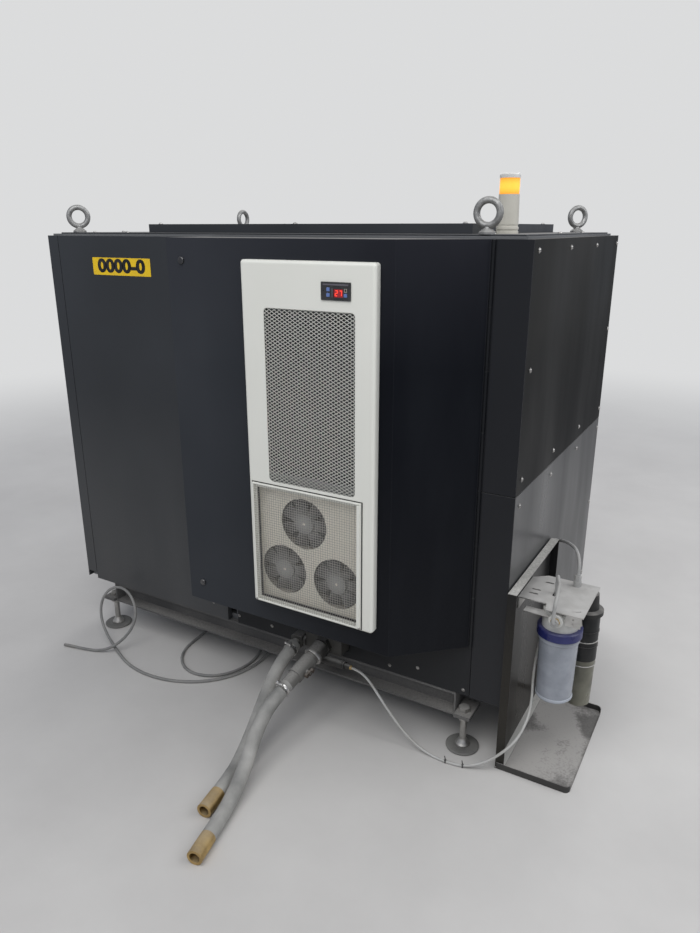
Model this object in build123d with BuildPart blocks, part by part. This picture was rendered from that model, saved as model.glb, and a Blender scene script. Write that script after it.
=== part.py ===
from build123d import *
import os
from math import cos, pi, radians, sin, sqrt, tan

os.makedirs("parts", exist_ok=True)

# A fiber laser source cabinet: a sheet steel cabinet on levelling feet, with a deep hinged door
# that carries an enclosure cooler, water connections under the door, and a water filter stand
# beside the cabinet. Distances across run from the left skin, distances back from the front skin
# and heights from the floor. The origin is the middle of the whole footprint, on the floor.

# Cabinet shell
cabinet_width = 1675
cabinet_depth = 980
skin_bottom = 190
skin_top = 1463
sheet = 2
fold = 22
joint_gap = 3
seam_height = 826
corner_width = 92
strip_width = 46
strip_lift = 24
left_section = 695
plinth_left = 735
plinth_top = 380
plinth_setback = 4
frame_top = 1469
lid_thickness = 4
lid_inset = 30
cover_left = 361
cover_right_margin = 195
cover_inset = 110
cover_height = 26
screw_clearance = 0.3

# Frame and base
tube_size = 40
tube_wall = 3
mid_post_left = 715
base_bottom = 110
base_top = 188
channel_front = 5
channel_depth = 50
channel_wall = 7
channel_left = 140
end_plate = 5
floor_pan_sheet = 4
floor_pan_top = 208
cross_width = 60
middle_tube_set = 7.5
lug_length = 50
lug_depth = 92
lug_overhang = 8
lug_thickness = 12
lug_top = 125
foot_inset = 113
foot_back = 22
foot_pad_radius = 50
foot_pad_thickness = 8
foot_seat_height = 20
foot_screw_radius = 10
foot_screw_across = 30
foot_head_height = 13
foot_nut_height = 16

# Top fittings
eye_left = 108
eye_right = 132
eye_back = 45
eye_ring_radius = 29.5
eye_section_radius = 8.5
eye_centre_height = 50
eye_collar_radius = 21
beacon_right_margin = 151
beacon_back = 250
beacon_radius = 29
beacon_base_height = 22
beacon_body_height = 99
beacon_lens_height = 139
beacon_cap_height = 151

# Door
door_left = 687
door_slant = 174
door_right_gap = 10
door_depth = 162
door_bottom = 357
door_seat = 2.5
door_flange = 25
hinge_set = 6
hinge_forward = 5
hinge_barrel_radius = 4
hinge_pin_radius = 2.4
hinge_running_gap = 0.08
hinge_leaf = 1.5
hinge_leaf_width = 24
knuckle_count = 7
knuckle_gap = 0.5
door_screw_inset = 53
door_screw_low = 420
door_screw_high = 1403

# Enclosure cooler
cooler_from_right = 613
cooler_width = 400
cooler_bottom = 428
cooler_top = 1411
cooler_stand_out = 25
cooler_sheet = 2
cooler_edge_radius = 9
cooler_flange = 15
cooler_fit = 0.5
case_back = 142
window_inset = 72
window_width = 273
window_bottom = 818
window_height = 474
window_corner = 12
mesh_margin = 10
mesh_sheet = 1.5
mesh_columns = 8
mesh_rows = 14
mesh_strand = 5
filter_inset = 14
filter_width = 352
filter_bottom = 437
filter_height = 370
filter_thickness = 7
filter_rim = 13
filter_gap_columns = 8
filter_gap_rows = 8
filter_wire = 2.5
filter_mesh_thickness = 1
fan_plate_depth = 30
fan_hole_radius = 75
fan_ring_depth = 26
fan_blade_gap = 3
fan_hub_radius = 30
fan_blades = 7
fan_blade_pitch = 32
fan_motor_radius = 27
fan_motor_depth = 24
fan_shaft_radius = 4
fan_strut = 8
fan_insets = [(166, 697), (96, 542), (272, 537)]
bezel_inset = 250
bezel_width = 84
bezel_bottom = 1320
bezel_height = 44
bezel_depth = 3
display_width = 27
display_height = 20
button_size = 9
button_travel = 0.8
button_gap = 0.4
blower_radius = 80
blower_width = 60
blower_blades = 20

# Filter stand
stand_gap = 3.5
stand_front = -17
stand_back = 411
stand_height = 560
stand_flange = 25
tray_reach = 217
tray_front = -22
tray_back = 398
tray_lip = 20
tray_corner = 15
bracket_height = 508
bracket_reach = 193
bracket_front = 80
bracket_back = 250
bracket_sheet = 3
near_filter_reach = 122
near_filter_back = 105
near_head_drop = 68
near_ring_height = 25
near_sump_length = 200
near_ring_top = bracket_height - near_head_drop
near_ring_bottom = near_ring_top - near_ring_height
near_sump_bottom = near_ring_bottom - near_sump_length
near_ring_radius = 62
near_sump_top_radius = 56
near_sump_bottom_radius = 50
near_sump_wall = 4
near_head_radius = 50
port_radius = 20
far_filter_reach = 170
far_filter_back = 210
far_filter_radius = 39
far_head_drop = 68
far_body_height = 140
far_bowl_height = 160
far_head_bottom = bracket_height - far_head_drop
far_bowl_top = far_head_bottom - far_body_height
far_bowl_bottom = far_bowl_top - far_bowl_height

# Water connections
block_left = 1045
block_width = 130
block_bottom = 218
block_height = 50
block_depth = 60
block_behind = 20
stub_radius = 16
nut_radius = 21
union_length = 16
hose_diameter = 42
line_diameter = 8
branch_start = (1128, -52, 200)
branch_end = (1214, -52, 200)
hose_a_route = [
    (1015, -60, 224),
    (1012, -128, 204),
    (1015, -190, 166),
    (1022, -248, 122),
    (1032, -308, 80),
    (1044, -374, 44),
    (1056, -445, 21.5),
    (1066, -518, 21.5),
]
hose_b_route = [
    (1090, -215, 192),
    (1081.23, -286.5, 170.94),
    (1082, -350, 133),
    (1090, -404, 86),
    (1103, -460, 50),
    (1116, -523, 27),
    (1129, -585, 21.5),
    (1142, -648, 21.5),
]
hose_radius = hose_diameter / 2
cover_right = cabinet_width - cover_right_margin
middle_tube = cabinet_width / 2 - middle_tube_set
beacon_across = cabinet_width - beacon_right_margin
door_right = cabinet_width - corner_width - door_right_gap
door_flat = door_right - door_slant - door_left
door_screw_across = door_left + door_screw_inset
hinge_across = door_right + hinge_set
cooler_left = door_right - cooler_from_right
window_left = cooler_left + window_inset
filter_left = cooler_left + filter_inset
bezel_left = cooler_left + bezel_inset
fan_centres = [(cooler_left + inset, height) for inset, height in fan_insets]
bracket_right = cabinet_width + bracket_reach
near_filter_across = cabinet_width + near_filter_reach
far_filter_across = cabinet_width + far_filter_reach
block_front = block_behind - block_depth
valve_start = (1110, block_front - 12, 240)
valve_end = hose_b_route[0]
valve_along = (Vector(*valve_end) - Vector(*valve_start)).normalized()

# The frame's origin: the middle of the footprint, without the hoses and lines
front_reach = hose_radius * sqrt(1 - valve_along.Y**2) - valve_end[1]
rear_reach = foot_pad_radius - foot_back
left = -(cabinet_width + tray_reach) / 2
front = (front_reach - cabinet_depth - rear_reach) / 2


def spot(across, back, height):
    """A place given from the cabinet's front left corner on the floor."""
    return (left + across, front + back, height)


def front_plane(across, height, back=0):
    """A plane that faces forward, with its x to the right and its y up."""
    return Plane(origin=spot(across, back, height), x_dir=(1, 0, 0), z_dir=(0, -1, 0))


def right_plane(back, height, across=cabinet_width):
    """A plane that faces right, with its x to the back and its y up."""
    return Plane(origin=spot(across, back, height), x_dir=(0, 1, 0), z_dir=(1, 0, 0))


def left_plane(back, height, across=0):
    """A plane that faces left, with its x to the front and its y up."""
    return Plane(origin=spot(across, back, height), x_dir=(0, -1, 0), z_dir=(-1, 0, 0))


def rear_plane(across, height, back=cabinet_depth):
    """A plane that faces back, with its x to the left and its y up."""
    return Plane(origin=spot(across, back, height), x_dir=(-1, 0, 0), z_dir=(0, 1, 0))


def level_plane(across, back, height):
    """A plane that faces up."""
    return Plane(origin=spot(across, back, height))


def pan(face, width, height, depth=fold, wall=sheet):
    """A sheet panel with its four edges folded in, face being the plane of its middle."""
    with BuildPart() as blank:
        with BuildSketch(face):
            Rectangle(width, height)
        extrude(amount=-depth)
        back = blank.faces().sort_by(Axis(face.origin, face.z_dir))[0]
        offset(amount=-wall, openings=back)
    return blank.part


def round_bar(start, end, radius, bore=0):
    """A turned bar or tube between two places."""
    run = Vector(*end) - Vector(*start)
    with BuildPart() as bar:
        with BuildSketch(Plane(origin=start, z_dir=run)):
            Circle(radius)
            if bore:
                Circle(bore, mode=Mode.SUBTRACT)
        extrude(amount=run.length)
    return bar.part


def flexible_line(name, route, diameter):
    """A tube along straight runs joined by arcs, each as large as its two runs allow."""
    radii = []
    for before, corner, after in zip(route, route[1:], route[2:]):
        run_in = Vector(*corner) - Vector(*before)
        run_out = Vector(*after) - Vector(*corner)
        turn = radians(run_in.get_angle(run_out))
        radii.append(0.45 * min(run_in.length, run_out.length) / tan(turn / 2))
    with BuildPart() as tube:
        with BuildLine() as path:
            FilletPolyline(*route, radius=radii)
        with BuildSketch(Plane(origin=path.line @ 0, z_dir=path.line % 0)):
            Circle(diameter / 2)
        sweep()
    length = path.wires()[0].length
    full = pi * diameter**2 / 4 * length
    print(f"{name}: length {length:.0f}, smallest radius {min(radii):.0f}, volume ratio"
          f" {tube.part.volume / full:.4f}, radii {[round(r) for r in radii]}")
    return tube.part

feet = [
    (across, back)
    for across in (foot_inset, cabinet_width - foot_inset)
    for back in (foot_back, cabinet_depth - foot_back)
]

# Base frame: channel rails that open outward, end plates, cross tubes and lugs for the feet
channel_length = cabinet_width - 2 * channel_left
channel_height = base_top - base_bottom
with BuildPart() as base_frame:
    for back, way in ((channel_front, 1), (cabinet_depth - channel_front, -1)):
        web_face = back + way * channel_depth
        with BuildSketch(right_plane(0, 0, channel_left)):
            with BuildLine():
                Polyline(
                    (back, base_bottom),
                    (web_face, base_bottom),
                    (web_face, base_top),
                    (back, base_top),
                    (back, base_top - channel_wall),
                    (web_face - way * channel_wall, base_top - channel_wall),
                    (web_face - way * channel_wall, base_bottom + channel_wall),
                    (back, base_bottom + channel_wall),
                    close=True,
                )
            make_face()
        extrude(amount=channel_length)
    cross_span = cabinet_depth - 2 * (channel_front + channel_depth)
    cross_middle = base_bottom + channel_height / 2
    for across in (channel_left + 90, middle_tube, cabinet_width - channel_left - 90):
        with BuildSketch(front_plane(across, cross_middle, channel_front + channel_depth)):
            Rectangle(cross_width, channel_height)
            Rectangle(cross_width - 2 * end_plate, channel_height - 2 * end_plate, mode=Mode.SUBTRACT)
        extrude(amount=-cross_span)
    for side, outward in ((channel_left, -1), (cabinet_width - channel_left, 1)):
        for start, way in ((-lug_overhang, 1), (cabinet_depth + lug_overhang, -1)):
            plate_start = start + way * (lug_overhang + channel_front)
            plate_end = start + way * lug_depth
            with BuildSketch(right_plane(0, 0, side)):
                with Locations(((plate_start + plate_end) / 2, cross_middle)):
                    Rectangle(abs(plate_end - plate_start), channel_height)
            extrude(amount=outward * end_plate)
            lug_edge = side + outward * end_plate
            with BuildSketch(level_plane(0, 0, lug_top)):
                with Locations((lug_edge + outward * lug_length / 2, start + way * lug_depth / 2)):
                    Rectangle(lug_length, lug_depth)
            extrude(amount=-lug_thickness)
            with BuildSketch(front_plane(0, 0, plate_end)):
                with BuildLine():
                    Polyline(
                        (lug_edge, lug_top),
                        (lug_edge + outward * lug_length * 0.7, lug_top),
                        (lug_edge, base_top - channel_wall),
                        close=True,
                    )
                make_face()
            extrude(amount=way * end_plate)
    with Locations([level_plane(across, back, lug_top) for across, back in feet]):
        Hole(foot_screw_radius + screw_clearance, depth=lug_thickness)
base_frame.part.label = "base_frame"
export_step(base_frame.part, "parts/base_frame.step")

# Levelling feet: a pad, and a screw with its bright seat, jam nut and hexagon head
with BuildPart() as foot_pads:
    for across, back in feet:
        with BuildSketch(front_plane(across, 0, back)):
            with BuildLine():
                Polyline(
                    (0, 0),
                    (foot_pad_radius - 3, 0),
                    (foot_pad_radius, 3),
                    (foot_pad_radius, foot_pad_thickness - 3),
                    (foot_pad_radius - 4, foot_pad_thickness),
                    (0, foot_pad_thickness),
                    close=True,
                )
            make_face()
        revolve(axis=Axis(spot(across, back, 0), (0, 0, 1)))
foot_pads.part.label = "foot_pads"
export_step(foot_pads.part, "parts/foot_pads.step")

foot_seat_radius = 22
nut_top = lug_top - lug_thickness
with BuildPart() as foot_screws:
    for across, back in feet:
        with BuildSketch(front_plane(across, 0, back)):
            with BuildLine():
                Polyline(
                    (0, foot_pad_thickness),
                    (foot_seat_radius, foot_pad_thickness),
                    (foot_seat_radius, foot_pad_thickness + 4),
                    (foot_seat_radius - 4, foot_pad_thickness + 9),
                    (foot_screw_radius + 2, foot_pad_thickness + foot_seat_height),
                    (foot_screw_radius, foot_pad_thickness + foot_seat_height),
                    (foot_screw_radius, lug_top),
                    (0, lug_top),
                    close=True,
                )
            make_face()
        revolve(axis=Axis(spot(across, back, 0), (0, 0, 1)))
        with BuildSketch(level_plane(across, back, nut_top)):
            RegularPolygon(foot_screw_across / 2, 6, major_radius=False)
        extrude(amount=-foot_nut_height)
        with BuildSketch(level_plane(across, back, lug_top)):
            RegularPolygon(foot_screw_across / 2, 6, major_radius=False)
        extrude(amount=foot_head_height)
foot_screws.part.label = "foot_screws"
export_step(foot_screws.part, "parts/foot_screws.step")

# Floor pan: folded down at its edges and welded up from a front plate, a rear plate and three
# between them that leave two cable openings
frame_width = cabinet_width - sheet - fold
frame_depth = cabinet_depth - 2 * fold
frame_across = sheet + frame_width / 2
frame_back = cabinet_depth / 2
cable_opening = (160, 70)
cable_places = [(430, 850), (cabinet_width - 475, 850)]
gland_places = [(middle_tube - 65, 205), (middle_tube - 118, 205), (middle_tube - 350, 205)]
gland_hole = 9
pan_seams = [cable_places[0][1] + way * cable_opening[1] / 2 for way in (-1, 1)]
pan_seam_gap = 0.3
with BuildPart() as floor_pan:
    add(pan(level_plane(frame_across, frame_back, floor_pan_top), frame_width, frame_depth,
            floor_pan_top - base_top, floor_pan_sheet))
    with BuildSketch(level_plane(0, 0, floor_pan_top)):
        with Locations(cable_places):
            Rectangle(*cable_opening)
        with Locations(gland_places):
            Circle(gland_hole)
    extrude(amount=-floor_pan_sheet, mode=Mode.SUBTRACT)
    with BuildSketch(level_plane(0, 0, floor_pan_top)):
        with Locations([(frame_across, back) for back in pan_seams]):
            Rectangle(frame_width + sheet, pan_seam_gap)
    extrude(amount=base_top - floor_pan_top, mode=Mode.SUBTRACT)
floor_pan.part.label = "floor_pan"
export_step(floor_pan.part, "parts/floor_pan.step")

# Cabinet frame: square tube posts under a top frame
eyes = [
    (across, back)
    for across in (eye_left, cabinet_width - eye_right)
    for back in (eye_back, cabinet_depth - eye_back)
]
eye_shank_radius = 10
post_height = frame_top - tube_size - floor_pan_top
posts = [
    (across + tube_size / 2, back + tube_size / 2)
    for across, back in (
        (sheet, fold),
        (sheet, cabinet_depth - fold - tube_size),
        (cabinet_width - fold - tube_size, fold),
        (cabinet_width - fold - tube_size, cabinet_depth - fold - tube_size),
        (mid_post_left, fold),
    )
]
with BuildPart() as cabinet_frame:
    with BuildSketch(level_plane(0, 0, floor_pan_top)):
        with Locations(posts):
            RectangleRounded(tube_size, tube_size, 4)
            Rectangle(tube_size - 2 * tube_wall, tube_size - 2 * tube_wall, mode=Mode.SUBTRACT)
    extrude(amount=post_height)
    with BuildSketch(level_plane(frame_across, frame_back, frame_top)):
        Rectangle(frame_width, frame_depth)
        Rectangle(frame_width - 2 * tube_size, frame_depth - 2 * tube_size, mode=Mode.SUBTRACT)
    extrude(amount=-tube_size)
    with BuildSketch(level_plane(0, 0, frame_top)):
        with Locations((mid_post_left + tube_size / 2, frame_back)):
            Rectangle(tube_size, frame_depth)
    extrude(amount=-tube_size)
    with Locations([level_plane(across, back, frame_top) for across, back in eyes]):
        Hole(eye_shank_radius + screw_clearance, depth=tube_size)
cabinet_frame.part.label = "cabinet_frame"
export_step(cabinet_frame.part, "parts/cabinet_frame.step")

# Left side: one sheet that turns round the front corner as a narrow strip
strip_height = skin_top - skin_bottom - strip_lift
with BuildPart() as left_side_panel:
    with BuildSketch(level_plane(0, 0, skin_bottom)):
        with Locations((0, 0)):
            Rectangle(sheet, cabinet_depth, align=(Align.MIN, Align.MIN))
    extrude(amount=skin_top - skin_bottom)
    with BuildSketch(level_plane(0, 0, skin_bottom + strip_lift)):
        Rectangle(strip_width, sheet, align=(Align.MIN, Align.MIN))
        with Locations((strip_width - sheet, 0)):
            Rectangle(sheet, fold, align=(Align.MIN, Align.MIN))
    extrude(amount=strip_height)
left_side_panel.part.label = "left_side_panel"
export_step(left_side_panel.part, "parts/left_side_panel.step")

# Left front panel
skin_height = skin_top - skin_bottom
skin_middle = skin_bottom + skin_height / 2
left_panel_start = strip_width + joint_gap
with BuildPart() as left_front_panel:
    add(pan(front_plane((left_panel_start + left_section) / 2, skin_middle),
            left_section - left_panel_start, skin_height))
left_front_panel.part.label = "left_front_panel"
export_step(left_front_panel.part, "parts/left_front_panel.step")

# Plinth panel under the door, with the opening that the water manifold passes through
plinth_right = cabinet_width - corner_width - joint_gap
plinth_height = plinth_top - skin_bottom
block_clearance = 4
with BuildPart() as plinth_panel:
    add(pan(front_plane((plinth_left + plinth_right) / 2, skin_bottom + plinth_height / 2, plinth_setback),
            plinth_right - plinth_left, plinth_height, fold - plinth_setback))
    with BuildSketch(front_plane(block_left + block_width / 2, block_bottom + block_height / 2, plinth_setback)):
        RectangleRounded(block_width + 2 * block_clearance, block_height + 2 * block_clearance, 6)
    extrude(amount=-sheet, mode=Mode.SUBTRACT)
plinth_panel.part.label = "plinth_panel"
export_step(plinth_panel.part, "parts/plinth_panel.step")

# Right corner covers: sheets folded back to the post, one above the other
seam_gap = 2
corner_left = cabinet_width - corner_width
corner_leaf = 57
corner_covers_spans = [
    (seam_height + seam_gap / 2, skin_top),
    (skin_bottom, seam_height - seam_gap / 2),
]
with BuildPart() as corner_covers:
    for low, high in corner_covers_spans:
        with BuildSketch(level_plane(0, 0, low)):
            with Locations((corner_left, 0)):
                Rectangle(corner_width, sheet, align=(Align.MIN, Align.MIN))
                Rectangle(sheet, fold, align=(Align.MIN, Align.MIN))
            with Locations((corner_left, fold - sheet)):
                Rectangle(corner_leaf, sheet, align=(Align.MIN, Align.MIN))
        extrude(amount=high - low)
corner_covers.part.label = "corner_covers"
export_step(corner_covers.part, "parts/corner_covers.step")

# Right side panels, the upper one above the seam
side_front = sheet + 0.5
side_width = cabinet_depth - side_front
side_back = side_front + side_width / 2
upper_low = seam_height + joint_gap / 2
with BuildPart() as side_panel_upper:
    add(pan(right_plane(side_back, (upper_low + skin_top) / 2), side_width, skin_top - upper_low))
side_panel_upper.part.label = "side_panel_upper"
export_step(side_panel_upper.part, "parts/side_panel_upper.step")

lower_high = seam_height - joint_gap / 2
with BuildPart() as side_panel_lower:
    add(pan(right_plane(side_back, (skin_bottom + lower_high) / 2), side_width, lower_high - skin_bottom))
side_panel_lower.part.label = "side_panel_lower"
export_step(side_panel_lower.part, "parts/side_panel_lower.step")

# Rear panels: two, side by side
rear_left = sheet + joint_gap / 2
rear_right = cabinet_width - fold - joint_gap
rear_width = (rear_right - rear_left - joint_gap) / 2
with BuildPart() as rear_panels:
    for across in (rear_left + rear_width / 2, rear_right - rear_width / 2):
        add(pan(rear_plane(across, skin_middle), rear_width, skin_height))
rear_panels.part.label = "rear_panels"
export_step(rear_panels.part, "parts/rear_panels.step")

# Roof: a plate on the frame, and a raised cover on the plate
lid_top = frame_top + lid_thickness
lid_width = cabinet_width - 2 * lid_inset
lid_depth = cabinet_depth - 2 * lid_inset
with BuildPart() as lid_plate:
    with BuildSketch(level_plane(cabinet_width / 2, cabinet_depth / 2, frame_top)):
        RectangleRounded(lid_width, lid_depth, 6)
    extrude(amount=lid_thickness)
    with Locations([level_plane(across, back, lid_top) for across, back in eyes]):
        Hole(eye_shank_radius + screw_clearance, depth=lid_thickness)
lid_plate.part.label = "lid_plate"
export_step(lid_plate.part, "parts/lid_plate.step")

cover_width = cover_right - cover_left
cover_depth = cabinet_depth - 2 * cover_inset
with BuildPart() as top_cover:
    add(pan(level_plane(cover_left + cover_width / 2, cabinet_depth / 2, lid_top + cover_height),
            cover_width, cover_depth, cover_height))
top_cover.part.label = "top_cover"
export_step(top_cover.part, "parts/top_cover.step")

# Lifting eyes, each turned its own way
eye_turns = (-48, 90, 0, -48)
eye_shank = 40
with BuildPart() as eye_bolts:
    for (across, back), turn in zip(eyes, eye_turns):
        normal = (sin(radians(turn)), cos(radians(turn)), 0)
        ring_across = (cos(radians(turn)), -sin(radians(turn)), 0)
        ring_centre = spot(across, back, lid_top + eye_centre_height)
        with BuildSketch(Plane(origin=ring_centre, x_dir=(0, 0, 1), z_dir=ring_across)):
            with Locations((-eye_ring_radius, 0)):
                Circle(eye_section_radius)
        revolve(axis=Axis(ring_centre, normal))
        neck_origin = spot(across, back, lid_top)
        with BuildSketch(Plane(origin=neck_origin, x_dir=ring_across, z_dir=(-normal[0], -normal[1], 0))):
            with BuildLine():
                Polyline(
                    (0, -eye_shank),
                    (eye_shank_radius, -eye_shank),
                    (eye_shank_radius, 0),
                    (eye_collar_radius, 0),
                    (eye_collar_radius, 5),
                    (eye_shank_radius, 14),
                    (eye_shank_radius - 3, 20),
                    (0, 20),
                    close=True,
                )
            make_face()
        revolve(axis=Axis(spot(across, back, 0), (0, 0, 1)))
eye_bolts.part.label = "eye_bolts"
export_step(eye_bolts.part, "parts/eye_bolts.step")

# Beacon: ribbed base and body, lens and cap
beacon_axis = Axis(spot(beacon_across, beacon_back, 0), (0, 0, 1))
beacon_face = front_plane(beacon_across, lid_top, beacon_back)
with BuildPart() as beacon_body:
    with BuildSketch(beacon_face):
        with BuildLine():
            Polyline(
                (0, 0),
                (beacon_radius + 1, 0),
                (beacon_radius + 1, 6),
                (beacon_radius - 1, 7),
                (beacon_radius - 1, 10),
                (beacon_radius + 1, 11),
                (beacon_radius + 1, 17),
                (beacon_radius - 1, 18),
                (beacon_radius - 1, beacon_base_height),
                (beacon_radius, beacon_base_height + 1),
                (beacon_radius - 2, beacon_body_height),
                (0, beacon_body_height),
                close=True,
            )
        make_face()
    revolve(axis=beacon_axis)
beacon_body.part.label = "beacon_body"
export_step(beacon_body.part, "parts/beacon_body.step")

beacon_lens_radius = beacon_radius - 3
with BuildPart() as beacon_lens:
    with BuildSketch(level_plane(beacon_across, beacon_back, lid_top + beacon_body_height)):
        Circle(beacon_lens_radius)
    extrude(amount=beacon_lens_height - beacon_body_height)
beacon_lens.part.label = "beacon_lens"
export_step(beacon_lens.part, "parts/beacon_lens.step")

with BuildPart() as beacon_cap:
    with BuildSketch(level_plane(beacon_across, beacon_back, lid_top + beacon_lens_height)):
        Circle(beacon_lens_radius + 1)
    extrude(amount=beacon_cap_height - beacon_lens_height)
    fillet(beacon_cap.edges().group_by(Axis.Z)[-1], radius=5)
beacon_cap.part.label = "beacon_cap"
export_step(beacon_cap.part, "parts/beacon_cap.step")

# Door: a deep folded box with one slanted side, open to the cabinet behind
door_height = skin_top - door_bottom
door_middle = door_bottom + door_height / 2
door_flat_right = door_left + door_flat
case_margin = cooler_flange
case_width = cooler_width - 2 * case_margin
case_bottom = cooler_bottom + case_margin
case_height = cooler_top - cooler_bottom - 2 * case_margin
cooler_middle = cooler_left + cooler_width / 2
case_middle = case_bottom + case_height / 2
door_screw_places = [(door_screw_across, door_screw_low), (door_screw_across, door_screw_high)]
door_screw_radius = 5
with BuildPart() as door_box:
    with BuildSketch(level_plane(0, 0, door_bottom)):
        with BuildLine():
            Polyline(
                (door_left, -door_seat),
                (door_left, -door_depth),
                (door_flat_right, -door_depth),
                (door_right, -door_seat),
                close=True,
            )
        make_face()
    extrude(amount=door_height)
    offset(amount=-sheet, openings=door_box.faces().sort_by(Axis.Y)[-1])
    with BuildSketch(front_plane((door_left + door_right) / 2, door_middle, -door_seat)):
        Rectangle(door_right - door_left, door_height)
        Rectangle(door_right - door_left - 2 * door_flange, door_height - 2 * door_flange,
                  mode=Mode.SUBTRACT)
    extrude(amount=sheet)
    with BuildSketch(front_plane(cooler_middle, case_middle, -door_depth)):
        Rectangle(case_width, case_height)
    extrude(amount=-sheet, mode=Mode.SUBTRACT)
    with BuildSketch(front_plane(0, 0, -door_depth)):
        with Locations(door_screw_places):
            Circle(door_screw_radius + screw_clearance)
    extrude(amount=-sheet, mode=Mode.SUBTRACT)
door_box.part.label = "door_box"
export_step(door_box.part, "parts/door_box.step")

# Door screws: long captive screws that reach the middle post
door_screw_gap = 0.3
door_screw_length = door_depth + fold - door_screw_gap
with BuildPart() as door_screws:
    with BuildSketch(front_plane(0, 0, -door_depth)):
        with Locations(door_screw_places):
            Circle(door_screw_radius)
    extrude(amount=-door_screw_length)
    with BuildSketch(front_plane(0, 0, -door_depth)):
        with Locations(door_screw_places):
            Circle(2 * door_screw_radius)
    extrude(amount=5)
    chamfer(door_screws.edges().group_by(Axis.Y)[0], length=1.5)
door_screws.part.label = "door_screws"
export_step(door_screws.part, "parts/door_screws.step")

# Continuous hinge at the slanted side's edge: leaves with alternating knuckles on one pin
hinge_low = door_bottom
knuckle_pitch = door_height / knuckle_count
fixed_leaf_back = 18
leaf_clearance = 0.5
leaf_right = cabinet_width - corner_width


def knuckle_spans(first):
    """Heights of every other knuckle, counted from the lowest."""
    return [
        (hinge_low + n * knuckle_pitch + knuckle_gap / 2, hinge_low + (n + 1) * knuckle_pitch - knuckle_gap / 2)
        for n in range(first, knuckle_count, 2)
    ]


with BuildPart() as hinge_fixed:
    with BuildSketch(level_plane(0, 0, hinge_low)):
        with BuildLine():
            Polyline(
                (leaf_right, -hinge_forward + hinge_barrel_radius + leaf_clearance),
                (leaf_right, fixed_leaf_back),
                (leaf_right - hinge_leaf, fixed_leaf_back),
                (leaf_right - hinge_leaf, -hinge_forward + hinge_barrel_radius + leaf_clearance),
                close=True,
            )
        make_face()
    extrude(amount=door_height)
    for low, high in knuckle_spans(0):
        with BuildSketch(level_plane(0, 0, low)):
            with Locations((hinge_across, -hinge_forward)):
                Circle(hinge_barrel_radius)
            with Locations((leaf_right - hinge_leaf / 2, -hinge_forward / 2)):
                Rectangle(hinge_leaf, hinge_forward)
        extrude(amount=high - low)
    with BuildSketch(level_plane(hinge_across, -hinge_forward, hinge_low + knuckle_gap / 2)):
        Circle(hinge_pin_radius)
    extrude(amount=door_height - knuckle_gap)
hinge_fixed.part.label = "hinge_fixed"
export_step(hinge_fixed.part, "parts/hinge_fixed.step")

moving_leaf_right = hinge_across - hinge_barrel_radius - leaf_clearance
with BuildPart() as hinge_moving:
    with BuildSketch(level_plane(0, 0, hinge_low)):
        with Locations((moving_leaf_right, -door_seat)):
            Rectangle(hinge_leaf_width, hinge_leaf, align=(Align.MAX, Align.MIN))
    extrude(amount=door_height)
    for low, high in knuckle_spans(1):
        with BuildSketch(level_plane(0, 0, low)):
            with Locations((hinge_across, -hinge_forward)):
                Circle(hinge_barrel_radius)
            with Locations((hinge_across, -door_seat)):
                Rectangle(hinge_leaf_width, hinge_leaf, align=(Align.MAX, Align.MIN))
            with Locations((hinge_across, -hinge_forward)):
                Circle(hinge_pin_radius + hinge_running_gap, mode=Mode.SUBTRACT)
        extrude(amount=high - low)
hinge_moving.part.label = "hinge_moving"
export_step(hinge_moving.part, "parts/hinge_moving.step")

# Cooler case, sunk through the door, with air openings to the cabinet and the blower's motor
case_outer_width = case_width - 2 * cooler_fit
case_outer_height = case_height - 2 * cooler_fit
case_sheet = 1.5
case_rear = case_back - door_depth
blower_across = cooler_middle
blower_height = 1180
blower_shaft_radius = 5
blower_motor_radius = 32
blower_motor_depth = 16
blower_gap = 3
blower_shaft_length = blower_motor_depth + blower_gap + blower_width
air_opening = (250, 50)
air_places = [(blower_across, 1340), (blower_across, 940)]
case_face = front_plane(cooler_middle, case_middle, -door_depth)
case_floor = case_rear - case_sheet
with BuildPart() as cooler_case:
    with BuildSketch(case_face):
        Rectangle(case_outer_width, case_outer_height)
    extrude(amount=-case_back)
    offset(amount=-case_sheet, openings=cooler_case.faces().sort_by(Axis.Y)[0])
    with BuildSketch(front_plane(0, 0, case_rear)):
        with Locations(air_places):
            RectangleRounded(*air_opening, 8)
    extrude(amount=case_sheet, mode=Mode.SUBTRACT)
    with BuildSketch(front_plane(blower_across, blower_height, case_floor)):
        Circle(blower_motor_radius)
    extrude(amount=blower_motor_depth)
    with BuildSketch(front_plane(blower_across, blower_height, case_floor)):
        Circle(blower_shaft_radius)
    extrude(amount=blower_shaft_length)
cooler_case.part.label = "cooler_case"
export_step(cooler_case.part, "parts/cooler_case.step")

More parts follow.
